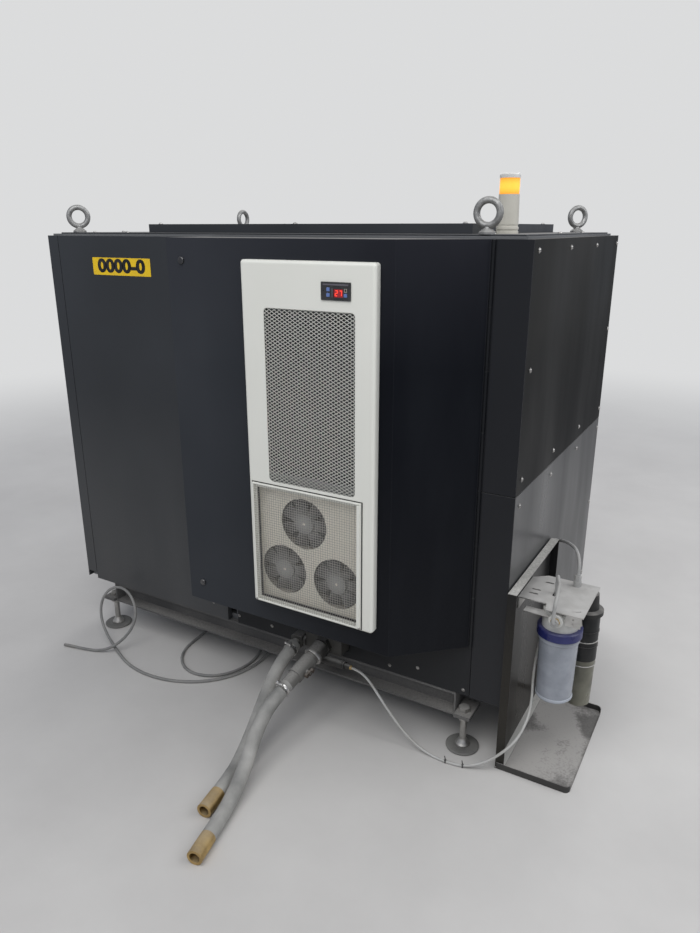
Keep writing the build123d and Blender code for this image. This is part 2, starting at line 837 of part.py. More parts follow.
# Cooler front: a cover with rounded edges, a window above and an opening for the fans below
cooler_height = cooler_top - cooler_bottom
cooler_face = -door_depth - cooler_stand_out
window_middle = (window_left + window_width / 2, window_bottom + window_height / 2)
filter_middle = (filter_left + filter_width / 2, filter_bottom + filter_height / 2)
with BuildPart() as cooler_front:
    with BuildSketch(front_plane(cooler_middle, cooler_bottom + cooler_height / 2, -door_depth)):
        Rectangle(cooler_width, cooler_height)
    extrude(amount=cooler_stand_out)
    front_edges = cooler_front.edges().group_by(Axis.Y)[0]
    corner_edges = cooler_front.edges().filter_by(Axis.Y)
    fillet(front_edges + corner_edges, radius=cooler_edge_radius)
    offset(amount=-cooler_sheet, openings=cooler_front.faces().sort_by(Axis.Y)[-1])
    with BuildSketch(front_plane(0, 0, cooler_face)):
        with Locations(window_middle):
            RectangleRounded(window_width, window_height, window_corner)
        with Locations(filter_middle):
            Rectangle(filter_width - 2 * filter_rim, filter_height - 2 * filter_rim)
    extrude(amount=-cooler_sheet, mode=Mode.SUBTRACT)
cooler_front.part.label = "cooler_front"
export_step(cooler_front.part, "parts/cooler_front.step")

# Window mesh: a plate of staggered diamond openings behind the window
mesh_across_pitch = window_width / mesh_columns
mesh_up_pitch = 2 * window_height / mesh_rows
mesh_half_width = mesh_across_pitch / 2 - mesh_strand / 2
mesh_half_height = mesh_up_pitch / 2 - mesh_strand / 2
with BuildPart() as cooler_mesh:
    with BuildSketch(front_plane(*window_middle, cooler_face + cooler_sheet)):
        Rectangle(window_width + 2 * mesh_margin, window_height + 2 * mesh_margin)
        with GridLocations(mesh_across_pitch, mesh_up_pitch, mesh_columns, mesh_rows // 2):
            Polygon((-mesh_half_width, 0), (0, -mesh_half_height), (mesh_half_width, 0),
                    (0, mesh_half_height), mode=Mode.SUBTRACT)
        with GridLocations(mesh_across_pitch, mesh_up_pitch, mesh_columns - 1, mesh_rows // 2 - 1):
            Polygon((-mesh_half_width, 0), (0, -mesh_half_height), (mesh_half_width, 0),
                    (0, mesh_half_height), mode=Mode.SUBTRACT)
    extrude(amount=-mesh_sheet)
cooler_mesh.part.label = "cooler_mesh"
export_step(cooler_mesh.part, "parts/cooler_mesh.step")

# Filter cover: a proud frame round a wire screen
screen_width = filter_width - 2 * filter_rim
screen_height = filter_height - 2 * filter_rim
screen_across_pitch = screen_width / filter_gap_columns
screen_up_pitch = screen_height / filter_gap_rows
filter_face = front_plane(*filter_middle, cooler_face)
with BuildPart() as filter_cover:
    with BuildSketch(filter_face):
        Rectangle(filter_width, filter_height)
        Rectangle(screen_width, screen_height, mode=Mode.SUBTRACT)
    extrude(amount=filter_thickness)
    with BuildSketch(filter_face):
        Rectangle(screen_width, screen_height)
        with GridLocations(screen_across_pitch, screen_up_pitch, filter_gap_columns, filter_gap_rows):
            Rectangle(screen_across_pitch - filter_wire, screen_up_pitch - filter_wire,
                      mode=Mode.SUBTRACT)
    extrude(amount=filter_mesh_thickness)
filter_cover.part.label = "filter_cover"
export_step(filter_cover.part, "parts/filter_cover.step")

# Fan plate in the mouth of the case: a ring, a strut and a motor for each fan
fan_plate_fit = 0.3
fan_plate_width = case_outer_width - 2 * case_sheet - 2 * fan_plate_fit
fan_plate_low = case_bottom + cooler_fit + case_sheet + fan_plate_fit
fan_plate_height = filter_bottom + filter_height - fan_plate_low
fan_plate_middle = fan_plate_low + fan_plate_height / 2
fan_ring_wall = 2
fan_ring_rear = -door_depth + fan_ring_depth
fan_motor_front = fan_ring_rear - fan_strut / 2
rotor_rear = fan_motor_front - 1
rotor_front = -door_depth + 1
with BuildPart() as fan_plate:
    with BuildSketch(front_plane(cooler_middle, fan_plate_middle, -door_depth)):
        Rectangle(fan_plate_width, fan_plate_height)
    extrude(amount=-sheet)
    with BuildSketch(front_plane(0, 0, -door_depth)):
        with Locations(fan_centres):
            Circle(fan_hole_radius + fan_ring_wall)
    extrude(amount=-fan_ring_depth)
    with BuildSketch(front_plane(0, 0, -door_depth)):
        with Locations(fan_centres):
            Circle(fan_hole_radius)
    extrude(amount=-fan_ring_depth, mode=Mode.SUBTRACT)
    with BuildSketch(front_plane(0, 0, fan_ring_rear)):
        with Locations(fan_centres):
            Rectangle(2 * fan_hole_radius + fan_ring_wall, fan_strut)
            Rectangle(fan_strut, 2 * fan_hole_radius + fan_ring_wall)
    extrude(amount=fan_strut / 2)
    with BuildSketch(front_plane(0, 0, fan_motor_front)):
        with Locations(fan_centres):
            Circle(fan_motor_radius)
    extrude(amount=-fan_motor_depth)
    with BuildSketch(front_plane(0, 0, fan_motor_front)):
        with Locations(fan_centres):
            Circle(fan_shaft_radius)
    extrude(amount=fan_motor_front - rotor_front)
fan_plate.part.label = "fan_plate"
export_step(fan_plate.part, "parts/fan_plate.step")


def fan_rotor(across, height):
    """An axial fan's rotor: a hub with a bore, and twisted blades trimmed to its circle."""
    hub_depth = rotor_rear - rotor_front
    middle = (rotor_rear + rotor_front) / 2
    with BuildPart() as rotor:
        for n in range(fan_blades):
            turn = 2 * pi * n / fan_blades
            outward = (cos(turn), 0, sin(turn))
            along = (-sin(turn), 0, cos(turn))
            for distance, chord, tilt in ((fan_hub_radius - 4, 26, 52), (fan_hole_radius, 44, fan_blade_pitch)):
                origin = (
                    left + across + distance * outward[0],
                    front + middle,
                    height + distance * outward[2],
                )
                station = Plane(origin=origin, x_dir=along, z_dir=outward).rotated((0, 0, tilt))
                with BuildSketch(station):
                    Rectangle(chord, 2.2)
            loft()
        with BuildSketch(front_plane(across, height, rotor_front)):
            Circle(fan_hole_radius - fan_blade_gap)
        extrude(amount=-hub_depth, mode=Mode.INTERSECT)
        with BuildSketch(front_plane(across, height, rotor_front)):
            Circle(fan_hub_radius)
        extrude(amount=-hub_depth)
        with BuildSketch(front_plane(across, height, rotor_front)):
            Circle(fan_shaft_radius + hinge_running_gap)
        extrude(amount=-hub_depth, mode=Mode.SUBTRACT)
    return rotor.part


for number, (across, height) in enumerate(fan_centres, 1):
    with BuildPart() as fan:
        add(fan_rotor(across, height))
    fan.part.label = f"fan_rotor_{number}"
    export_step(fan.part, f"parts/fan_rotor_{number}.step")

# Blower wheel on the motor's shaft at the back of the case
blower_back = case_floor - blower_motor_depth - blower_gap
blower_hub_radius = 14
blower_blade_depth = 22
with BuildPart() as blower_wheel:
    with BuildSketch(front_plane(blower_across, blower_height, blower_back)):
        Circle(blower_radius)
    extrude(amount=2)
    with BuildSketch(front_plane(blower_across, blower_height, blower_back)):
        Circle(blower_hub_radius)
    extrude(amount=blower_width)
    with BuildSketch(front_plane(blower_across, blower_height, blower_back)):
        with PolarLocations(blower_radius - blower_blade_depth / 2, blower_blades):
            Rectangle(blower_blade_depth, 2, rotation=35)
    extrude(amount=blower_width)
    with BuildSketch(front_plane(blower_across, blower_height, blower_back - blower_width)):
        Circle(blower_radius)
        Circle(blower_radius - blower_blade_depth, mode=Mode.SUBTRACT)
    extrude(amount=-2)
    with BuildSketch(front_plane(blower_across, blower_height, blower_back)):
        Circle(blower_shaft_radius + hinge_running_gap)
    extrude(amount=blower_width, mode=Mode.SUBTRACT)
blower_wheel.part.label = "blower_wheel"
export_step(blower_wheel.part, "parts/blower_wheel.step")

# Heat exchanger behind the window, between the case's walls
coil_fit = 0.3
coil_width = case_outer_width - 2 * case_sheet - 2 * coil_fit
coil_front = -door_depth + 10
coil_depth = 34
coil_low = 830
coil_height = 450
coil_end = 6
coil_fins = 24
coil_fin_pitch = (coil_width - 2 * coil_end) / coil_fins
with BuildPart() as cooler_coils:
    with BuildSketch(level_plane(cooler_middle, coil_front + coil_depth / 2, coil_low)):
        Rectangle(coil_width, coil_depth)
        with Locations((0, -coil_depth / 4)):
            with GridLocations(coil_fin_pitch, 1, coil_fins, 1):
                Rectangle(coil_fin_pitch - 3, coil_depth / 2, mode=Mode.SUBTRACT)
    extrude(amount=coil_height)
cooler_coils.part.label = "cooler_coils"
export_step(cooler_coils.part, "parts/cooler_coils.step")

# Controller: a bezel with a display recess and three push buttons
bezel_middle = (bezel_left + bezel_width / 2, bezel_bottom + bezel_height / 2)
display_place = (7.5, -4.5)
button_places = [(-21, 4), (-21, -9), (28, -9)]
button_hole = button_size + 2 * button_gap
display_depth = 1.5
bezel_face = front_plane(*bezel_middle, cooler_face)
with BuildPart() as controller_bezel:
    with BuildSketch(bezel_face):
        RectangleRounded(bezel_width, bezel_height, 2)
        with Locations(button_places):
            RectangleRounded(button_hole, button_hole, 1.5, mode=Mode.SUBTRACT)
    extrude(amount=bezel_depth)
    with BuildSketch(front_plane(*bezel_middle, cooler_face - bezel_depth)):
        with Locations(display_place):
            Rectangle(display_width, display_height)
    extrude(amount=-display_depth, mode=Mode.SUBTRACT)
controller_bezel.part.label = "controller_bezel"
export_step(controller_bezel.part, "parts/controller_bezel.step")

button_rest = button_travel + 0.1
button_height = bezel_depth + 1.5 - button_rest
button_face = front_plane(*bezel_middle, cooler_face - button_rest)
for number, place in enumerate(button_places, 1):
    with BuildPart() as button:
        with BuildSketch(button_face):
            with Locations(place):
                RectangleRounded(button_size, button_size, 1.2)
        extrude(amount=button_height)
        chamfer(button.edges().group_by(Axis.Y)[0], length=0.5)
    button.part.label = f"controller_button_{number}"
    export_step(button.part, f"parts/controller_button_{number}.step")

# Drip tray on the floor beside the cabinet, with a lip in front and behind
tray_sheet = 2
tray_left = cabinet_width + stand_gap
tray_right = cabinet_width + tray_reach
tray_middle = ((tray_left + tray_right) / 2, (tray_front + tray_back) / 2)
tray_low_edge = 4
with BuildPart() as drip_tray:
    with BuildSketch(level_plane(*tray_middle, 0)):
        Rectangle(tray_right - tray_left, tray_back - tray_front)
    extrude(amount=tray_lip)
    fillet(drip_tray.edges().filter_by(Axis.Z).group_by(Axis.X)[-1], radius=tray_corner)
    offset(amount=-tray_sheet, openings=drip_tray.faces().sort_by(Axis.Z)[-1])
    with BuildSketch(level_plane(tray_right, tray_middle[1], tray_lip)):
        Rectangle(2 * tray_corner, tray_back - tray_front - 2 * tray_corner)
    extrude(amount=tray_low_edge - tray_lip, mode=Mode.SUBTRACT)
    with BuildSketch(level_plane(tray_left, tray_middle[1], tray_lip)):
        Rectangle(2 * (tray_sheet + joint_gap), tray_back - tray_front)
    extrude(amount=tray_sheet - tray_lip, mode=Mode.SUBTRACT)
drip_tray.part.label = "drip_tray"
export_step(drip_tray.part, "parts/drip_tray.step")

# Filter stand: a folded plate on the tray, against the cabinet's side
stand_middle = (stand_front + stand_back) / 2
stand_low = tray_sheet
stand_face = left_plane(stand_middle, (stand_low + stand_height) / 2, tray_left)
lip_clearance = 0.5
lip_front = tray_back - tray_sheet - lip_clearance
with BuildPart() as filter_stand:
    add(pan(stand_face, stand_back - stand_front, stand_height - stand_low, stand_flange))
    with BuildSketch(level_plane(tray_left + sheet, lip_front, tray_lip + lip_clearance)):
        Rectangle(stand_flange, stand_back - lip_front + 1, align=(Align.MIN, Align.MIN))
    extrude(amount=-tray_lip, mode=Mode.SUBTRACT)
filter_stand.part.label = "filter_stand"
export_step(filter_stand.part, "parts/filter_stand.step")

# Filter bracket: a shelf with slots, folded down onto the stand and down in front of its tongue
stand_inside = tray_left + sheet
bracket_drop = 38
bracket_width = bracket_back - bracket_front
tongue_left = stand_inside + 79.5
tongue_front = 44
tab_left = near_filter_across + 25
tab_right = tab_left + 40
tab_drop = 34
slot_size = (26, 7)
slot_places = [(stand_inside + 31.5, 120), (stand_inside + 31.5, 146), (stand_inside + 54.5, 205)]
pipe_slot = (40, 16)
pipe_slot_place = (stand_inside + 87.5, 150)
with BuildPart() as filter_bracket:
    with BuildSketch(level_plane(0, 0, bracket_height)):
        with BuildLine():
            Polyline(
                (stand_inside, bracket_front),
                (tongue_left, bracket_front),
                (tongue_left + 8, tongue_front),
                (bracket_right, tongue_front),
                (bracket_right, bracket_back),
                (stand_inside + 40, bracket_back),
                (stand_inside, bracket_back - 30),
                close=True,
            )
        make_face()
        with Locations(slot_places):
            SlotOverall(*slot_size, mode=Mode.SUBTRACT)
        with Locations(pipe_slot_place):
            SlotOverall(*pipe_slot, rotation=90, mode=Mode.SUBTRACT)
    extrude(amount=-bracket_sheet)
    with BuildSketch(right_plane(0, 0, stand_inside)):
        with BuildLine():
            Polyline(
                (bracket_front, bracket_height),
                (bracket_back - 30, bracket_height),
                (bracket_back - 30, bracket_height - bracket_drop),
                (bracket_front, bracket_height - bracket_drop),
                close=True,
            )
        make_face()
    extrude(amount=bracket_sheet)
    with BuildSketch(front_plane((tab_left + tab_right) / 2, bracket_height - tab_drop / 2, tongue_front)):
        Rectangle(tab_right - tab_left, tab_drop)
        with Locations((0, 6), (0, -7)):
            Circle(3, mode=Mode.SUBTRACT)
    extrude(amount=-bracket_sheet)
filter_bracket.part.label = "filter_bracket"
export_step(filter_bracket.part, "parts/filter_bracket.step")

# Near filter: a head with ports, a screwed ring, a tapered clear sump and its cartridge
bracket_under = bracket_height - bracket_sheet
near_axis = Axis(spot(near_filter_across, near_filter_back, 0), (0, 0, 1))
near_face = front_plane(near_filter_across, 0, near_filter_back)
ring_fit = 0.3
sump_top = near_ring_top - 3 - ring_fit
port_drop = 24
port_height = bracket_under - port_drop
port_reach = 66
elbow_across = near_filter_across - 62
elbow_back = near_filter_back + 55
elbow_reach = 17
elbow_drop = port_height - elbow_reach
side_port_radius = 9
with BuildPart() as near_filter_head:
    with BuildSketch(near_face):
        with BuildLine():
            Polyline(
                (0, near_ring_top - 3),
                (near_head_radius, near_ring_top - 3),
                (near_head_radius, bracket_under - 12),
                (near_head_radius - 10, bracket_under),
                (0, bracket_under),
                close=True,
            )
        make_face()
    revolve(axis=near_axis)
    with BuildSketch(front_plane(near_filter_across, port_height, near_filter_back)):
        Circle(port_radius)
    extrude(amount=port_reach)
    chamfer(near_filter_head.edges().group_by(Axis.Y)[0], length=2)
    add(round_bar(spot(near_filter_across, near_filter_back, port_height),
                  spot(elbow_across, elbow_back, port_height), side_port_radius))
    with BuildSketch(level_plane(elbow_across, elbow_back, port_height + side_port_radius)):
        Circle(side_port_radius + 1)
    extrude(amount=elbow_drop - port_height - side_port_radius)
near_filter_head.part.label = "near_filter_head"
export_step(near_filter_head.part, "parts/near_filter_head.step")

with BuildPart() as near_filter_ring:
    with BuildSketch(near_face):
        with BuildLine():
            Polyline(
                (near_sump_top_radius + 1, near_ring_bottom),
                (near_ring_radius, near_ring_bottom),
                (near_ring_radius, near_ring_top - 3),
                (near_ring_radius - 3, near_ring_top),
                (near_head_radius + ring_fit, near_ring_top),
                (near_head_radius + ring_fit, near_ring_top - 3),
                (near_sump_top_radius + 1, near_ring_top - 3),
                close=True,
            )
        make_face()
    revolve(axis=near_axis)
near_filter_ring.part.label = "near_filter_ring"
export_step(near_filter_ring.part, "parts/near_filter_ring.step")

with BuildPart() as near_filter_sump:
    with BuildSketch(near_face):
        with BuildLine():
            Polyline(
                (0, near_sump_bottom),
                (near_sump_bottom_radius - 8, near_sump_bottom),
                (near_sump_bottom_radius, near_sump_bottom + 8),
                (near_sump_top_radius - 2, near_ring_bottom - 20),
                (near_sump_top_radius, near_ring_bottom - 12),
                (near_sump_top_radius, sump_top),
                (near_sump_top_radius - near_sump_wall, sump_top),
                (near_sump_bottom_radius - near_sump_wall, near_sump_bottom + near_sump_wall + 8),
                (near_sump_bottom_radius - near_sump_wall - 6, near_sump_bottom + near_sump_wall),
                (0, near_sump_bottom + near_sump_wall),
                close=True,
            )
        make_face()
    revolve(axis=near_axis)
near_filter_sump.part.label = "near_filter_sump"
export_step(near_filter_sump.part, "parts/near_filter_sump.step")

cartridge_radius = 33
cartridge_low = near_sump_bottom + near_sump_wall
cartridge_high = near_ring_top - 3 - ring_fit
with BuildPart() as near_filter_cartridge:
    with BuildSketch(level_plane(near_filter_across, near_filter_back, cartridge_low)):
        Circle(cartridge_radius)
        Circle(cartridge_radius - 18, mode=Mode.SUBTRACT)
    extrude(amount=cartridge_high - cartridge_low)
near_filter_cartridge.part.label = "near_filter_cartridge"
export_step(near_filter_cartridge.part, "parts/near_filter_cartridge.step")

# Far filter: a ribbed dark body under a flanged head, with a clear bowl below
far_axis = Axis(spot(far_filter_across, far_filter_back, 0), (0, 0, 1))
far_face = front_plane(far_filter_across, 0, far_filter_back)
far_flange = 7
far_rib = 1.5
far_rib_height = 4
far_ribs = [far_bowl_top + 45, far_head_bottom - 48]
with BuildPart() as far_filter_head:
    with BuildSketch(far_face):
        with BuildLine():
            Polyline(
                (0, far_bowl_top),
                (far_filter_radius, far_bowl_top),
                (far_filter_radius, far_head_bottom),
                (far_filter_radius + far_flange, far_head_bottom + 4),
                (far_filter_radius + far_flange, far_head_bottom + 16),
                (far_filter_radius - 6, far_head_bottom + 20),
                (far_filter_radius - 10, bracket_under),
                (0, bracket_under),
                close=True,
            )
        make_face()
        for rib in far_ribs:
            with Locations((far_filter_radius, rib)):
                Rectangle(2 * far_rib, far_rib_height)
    revolve(axis=far_axis)
far_filter_head.part.label = "far_filter_head"
export_step(far_filter_head.part, "parts/far_filter_head.step")

with BuildPart() as far_filter_bowl:
    with BuildSketch(far_face):
        with BuildLine():
            Polyline(
                (0, far_bowl_bottom),
                (far_filter_radius - 14, far_bowl_bottom),
                (far_filter_radius - 4, far_bowl_bottom + 10),
                (far_filter_radius - 1, far_bowl_top - 6),
                (far_filter_radius - 1, far_bowl_top),
                (far_filter_radius - 4, far_bowl_top),
                (far_filter_radius - 7, far_bowl_bottom + 12),
                (0, far_bowl_bottom + 5),
                close=True,
            )
        make_face()
    revolve(axis=far_axis)
far_filter_bowl.part.label = "far_filter_bowl"
export_step(far_filter_bowl.part, "parts/far_filter_bowl.step")

# Pipework held by the filters: a pipe from the cabinet's side, and a short one from the front port
feed_tube_diameter = 10
feed_fitting_height = 34
feed_across = far_filter_across - 37
feed_route = [
    (cabinet_width, 474, 524),
    (cabinet_width + 12, 474, 524),
    (cabinet_width + 25, 440, 545),
    (cabinet_width + 43, 400, 562),
    (cabinet_width + 62, 360, 578),
    (cabinet_width + 84, 320, 591),
    (feed_across - 25, 280, 598),
    (feed_across - 7, 246, 588),
    (feed_across, 228, 566),
    (feed_across, 225, bracket_height + feed_fitting_height),
]
port_pipe_radius = 5
port_nut_radius = 11
port_front = near_filter_back - port_reach
port_route = [
    (near_filter_across, port_front - 12, port_height),
    (near_filter_across, port_front - 28, port_height + 8),
    (near_filter_across, port_front - 20, port_height + 60),
    (near_filter_across - 9, 90, port_height + 84),
    (*pipe_slot_place, port_height + 84),
    (*pipe_slot_place, bracket_under - 4),
]
with BuildPart() as filter_pipework:
    with BuildLine() as centre:
        FilletPolyline(*[spot(*point) for point in port_route], radius=12)
    with BuildSketch(Plane(origin=centre.line @ 0, z_dir=centre.line % 0)):
        Circle(port_pipe_radius)
    sweep(path=centre.line)
    add(flexible_line("feed tube", [spot(*point) for point in feed_route], feed_tube_diameter))
    add(round_bar(spot(*feed_route[0]), spot(cabinet_width + 7, *feed_route[0][1:]), 9))
    with BuildSketch(level_plane(feed_across, feed_route[-1][1], bracket_height)):
        Circle(11)
    extrude(amount=feed_fitting_height / 2)
    with BuildSketch(level_plane(feed_across, feed_route[-1][1], bracket_height + feed_fitting_height / 2)):
        RegularPolygon(8.5, 6, major_radius=False)
    extrude(amount=feed_fitting_height / 2)
    add(round_bar(spot(near_filter_across, port_front, port_height),
                  spot(near_filter_across, port_front - 14, port_height), port_nut_radius))
filter_pipework.part.label = "filter_pipework"
export_step(filter_pipework.part, "parts/filter_pipework.step")

# Water manifold: a block through the plinth, with stubs and a tee towards the hoses
block_middle = (block_left + block_width / 2, block_bottom + block_height / 2)


def part_way(start, end, share):
    """A place between two others."""
    return tuple(a + share * (b - a) for a, b in zip(start, end))


elbow_size = 40
elbow_place = part_way(hose_a_route[1], hose_a_route[0], 1.4)
with BuildPart() as water_manifold:
    with BuildSketch(front_plane(*block_middle, block_front)):
        RectangleRounded(block_width, block_height, 4)
    extrude(amount=-block_depth)
    with BuildSketch(left_plane(*elbow_place[1:], block_left)):
        Circle(stub_radius)
    extrude(amount=block_left - elbow_place[0])
    with BuildSketch(front_plane(elbow_place[0], elbow_place[2], elbow_place[1] - elbow_size / 2)):
        RectangleRounded(elbow_size, elbow_size, 8)
    extrude(amount=-elbow_size)
    add(round_bar(spot(*elbow_place), spot(*hose_a_route[0]), stub_radius))
water_manifold.part.label = "water_manifold"
export_step(water_manifold.part, "parts/water_manifold.step")

# Union and valve between the manifold and the second hose, with the filter line's tee
valve_place = part_way(valve_start, valve_end, 0.62)
handle_seat = 24
handle_stem_radius = 4
with BuildPart() as water_valve:
    with BuildSketch(front_plane(valve_start[0], valve_start[2], block_front)):
        RegularPolygon(nut_radius + 6, 6, major_radius=False)
    extrude(amount=union_length)
    add(round_bar(spot(*valve_start), spot(*part_way(valve_start, valve_end, 0.22)), 27))
    add(round_bar(spot(*part_way(valve_start, valve_end, 0.22)),
                  spot(*part_way(valve_start, valve_end, 0.34)), 22))
    add(round_bar(spot(*part_way(valve_start, valve_end, 0.34)),
                  spot(*part_way(valve_start, valve_end, 0.78)), 25))
    add(round_bar(spot(*part_way(valve_start, valve_end, 0.78)), spot(*valve_end), hose_radius))
    add(round_bar(spot(branch_start[0] - 12, branch_start[1], valve_start[2] - 14),
                  spot(branch_start[0] - 12, branch_start[1], branch_start[2] - 12), 11))
    add(round_bar(spot(branch_start[0] - 20, *branch_start[1:]), spot(*part_way(branch_start, branch_end, 0.7)), 13))
    add(round_bar(spot(*part_way(branch_start, branch_end, 0.7)), spot(*branch_end), 8))
    with BuildSketch(right_plane(valve_place[1], valve_place[2], valve_place[0])):
        Circle(9)
    extrude(amount=handle_seat + 4)
    with BuildSketch(right_plane(valve_place[1], valve_place[2], valve_place[0])):
        Circle(handle_stem_radius)
    extrude(amount=handle_seat + 14)
water_valve.part.label = "water_valve"
export_step(water_valve.part, "parts/water_valve.step")

# Butterfly handle on the valve's stem
with BuildPart() as valve_handle:
    with BuildSketch(right_plane(valve_place[1], valve_place[2], valve_place[0] + handle_seat + 4.3)):
        Circle(8)
        Rectangle(36, 9)
        with Locations((-15, 0), (15, 0)):
            Circle(7)
        Circle(handle_stem_radius + hinge_running_gap, mode=Mode.SUBTRACT)
    extrude(amount=9)
valve_handle.part.label = "valve_handle"
export_step(valve_handle.part, "parts/valve_handle.step")

# Cable glands under the floor pan
gland_top = floor_pan_top - floor_pan_sheet
gland_bottom = 168
with BuildPart() as cable_glands:
    with BuildSketch(level_plane(0, 0, gland_top)):
        with Locations(gland_places):
            RegularPolygon(13, 6, major_radius=False)
    extrude(amount=-8)
    with BuildSketch(level_plane(0, 0, gland_top)):
        with Locations(gland_places):
            Circle(11)
    extrude(amount=gland_bottom - gland_top)
    chamfer(cable_glands.edges().group_by(Axis.Z)[0], length=3)
cable_glands.part.label = "cable_glands"
export_step(cable_glands.part, "parts/cable_glands.step")

# Hoses, the filter's line and the loose cables, along the routes that they lie in
cable_diameter = 10
floor_level = cable_diameter / 2 + 0.5
line_level = line_diameter / 2 + 0.5
filter_line_route = [
    branch_end,
    (1246, -53, 199),
    (1282, -60, 184),
    (1318, -67, 150),
    (1356, -68, 104),
    (1396, -66, 58),
    (1442, -67, 22),
    (1496, -71, line_level),
    (1546, -75, line_level),
    (1600, -68, line_level),
    (1650, -52, 24),
    (1692, -37, 58),
    (1728, -10, 98),
    (1748, 22, 148),
    (1748, 64, 198),
    (1735, 104, 248),
    (1731, 138, 302),
    (1734, 158, 356),
    (elbow_across, elbow_back, 410),
    (elbow_across, elbow_back, elbow_drop),
]
left_cable_route = [
    (gland_places[0][0], gland_places[0][1], gland_bottom),
    (gland_places[0][0], gland_places[0][1], 106),
    (gland_places[0][0] + 2, 188, 52),
    (gland_places[0][0] + 3, 136, 15),
    (768, 70, floor_level),
    (760, 12, floor_level),
    (737, -47, floor_level),
    (698, -100, floor_level),
    (640, -146, floor_level),
    (560, -180, floor_level),
    (460, -192, floor_level),
    (360, -174, floor_level),
    (262, -132, floor_level + 4),
    (172, -102, 52),
    (136, -80, 118),
    (154, -62, 182),
    (206, -52, 218),
    (264, -54, 218),
    (304, -62, 186),
    (318, -70, 140),
    (312, -86, 94),
    (292, -114, 54),
    (258, -146, 22),
    (210, -168, floor_level),
    (158, -184, floor_level),
    (104, -194, floor_level),
]
floor_cable_route = [
    (gland_places[1][0], gland_places[1][1], gland_bottom),
    (gland_places[1][0], gland_places[1][1], 106),
    (gland_places[1][0] + 6, 188, 52),
    (gland_places[1][0] + 20, 136, 15),
    (745, 70, floor_level),
    (738, 4, floor_level),
    (711, -53, floor_level),
    (664, -92, floor_level),
    (606, -104, floor_level),
    (548, -88, floor_level),
    (498, -42, floor_level),
    (472, 20, floor_level),
    (468, 84, floor_level),
    (gland_places[2][0] - 6, 142, 18),
    (gland_places[2][0] - 2, 190, 54),
    (gland_places[2][0], gland_places[2][1], 108),
    (gland_places[2][0], gland_places[2][1], gland_bottom),
]
for name, route, diameter in (
    ("hose_a", hose_a_route, hose_diameter),
    ("hose_b", hose_b_route, hose_diameter),
    ("filter_line", filter_line_route, line_diameter),
    ("left_cable", left_cable_route, cable_diameter),
    ("floor_cable", floor_cable_route, cable_diameter),
):
    with BuildPart() as cord:
        add(flexible_line(name, [spot(*point) for point in route], diameter))
    cord.part.label = name
    export_step(cord.part, f"parts/{name}.step")

# Couplings at the hoses' free ends
coupling_length = 70
coupling_bore = 14
with BuildPart() as hose_couplings:
    for route in (hose_a_route, hose_b_route):
        start = Vector(*spot(*route[-1]))
        way = (start - Vector(*spot(*route[-2]))).normalized()
        end = start + way * coupling_length
        add(round_bar(tuple(start), tuple(end), hose_radius, coupling_bore))
hose_couplings.part.label = "hose_couplings"
export_step(hose_couplings.part, "parts/hose_couplings.step")

# Inside the cabinet: a rack of laser modules, the beam combiner on it and the power supplies
module_count = 6
module_width = 440
module_depth = 650
module_height = 100
module_pitch = 130
module_front = 150
rack_wall = 4
rack_ledge = 22
rack_left = 830
rack_low = floor_pan_top
rack_first = 52
rack_height = rack_first + module_count * module_pitch
module_fit = 0.3
rack_middle = rack_left + rack_wall + module_fit + module_width / 2
rack_inside = module_width + 2 * module_fit
with BuildPart() as module_rack:
    for way in (-1, 1):
        wall_face = rack_middle + way * rack_inside / 2
        with BuildSketch(front_plane(wall_face, rack_low, module_front)):
            Rectangle(rack_wall, rack_height, align=(Align.MIN if way > 0 else Align.MAX, Align.MIN))
            for n in range(module_count):
                with Locations((0, rack_first + n * module_pitch)):
                    Rectangle(rack_ledge, rack_wall, align=(Align.MAX if way > 0 else Align.MIN, Align.MAX))
        extrude(amount=-module_depth)
module_rack.part.label = "module_rack"
export_step(module_rack.part, "parts/module_rack.step")

handle_span = 300
handle_reach = 26
handle_bar = 10
with BuildPart() as laser_modules:
    for n in range(module_count):
        low = rack_low + rack_first + n * module_pitch
        middle = low + module_height / 2
        with BuildSketch(front_plane(rack_middle, middle, module_front)):
            Rectangle(module_width, module_height)
        extrude(amount=-module_depth)
        with BuildSketch(level_plane(rack_middle, module_front, middle - handle_bar / 2)):
            Rectangle(handle_span, 2 * handle_reach)
            Rectangle(handle_span - 2 * handle_bar, 2 * (handle_reach - handle_bar), mode=Mode.SUBTRACT)
        extrude(amount=handle_bar)
laser_modules.part.label = "laser_modules"
export_step(laser_modules.part, "parts/laser_modules.step")

combiner_height = 120
combiner_depth = 420
combiner_port = 28
with BuildPart() as beam_combiner:
    with BuildSketch(level_plane(rack_middle, module_front + module_depth / 2, rack_low + rack_height)):
        RectangleRounded(rack_inside + 2 * rack_wall, combiner_depth, 8)
    extrude(amount=combiner_height)
    with BuildSketch(rear_plane(rack_middle, rack_low + rack_height + combiner_height / 2,
                                module_front + module_depth / 2 + combiner_depth / 2)):
        Circle(combiner_port)
    extrude(amount=60)
beam_combiner.part.label = "beam_combiner"
export_step(beam_combiner.part, "parts/beam_combiner.step")

supply_count = 3
supply_size = (400, 520, 130)
supply_place = (380, 480)
with BuildPart() as power_supplies:
    with BuildSketch(level_plane(*supply_place, floor_pan_top)):
        RectangleRounded(supply_size[0], supply_size[1], 6)
    extrude(amount=supply_count * supply_size[2])
    for n in range(supply_count):
        with BuildSketch(front_plane(supply_place[0], floor_pan_top + (n + 0.5) * supply_size[2],
                                     supply_place[1] - supply_size[1] / 2)):
            with Locations((-supply_size[0] / 4, 0)):
                Circle(45)
            with Locations((supply_size[0] / 4, 0)):
                Rectangle(120, 60)
        extrude(amount=-6, mode=Mode.SUBTRACT)
power_supplies.part.label = "power_supplies"
export_step(power_supplies.part, "parts/power_supplies.step")

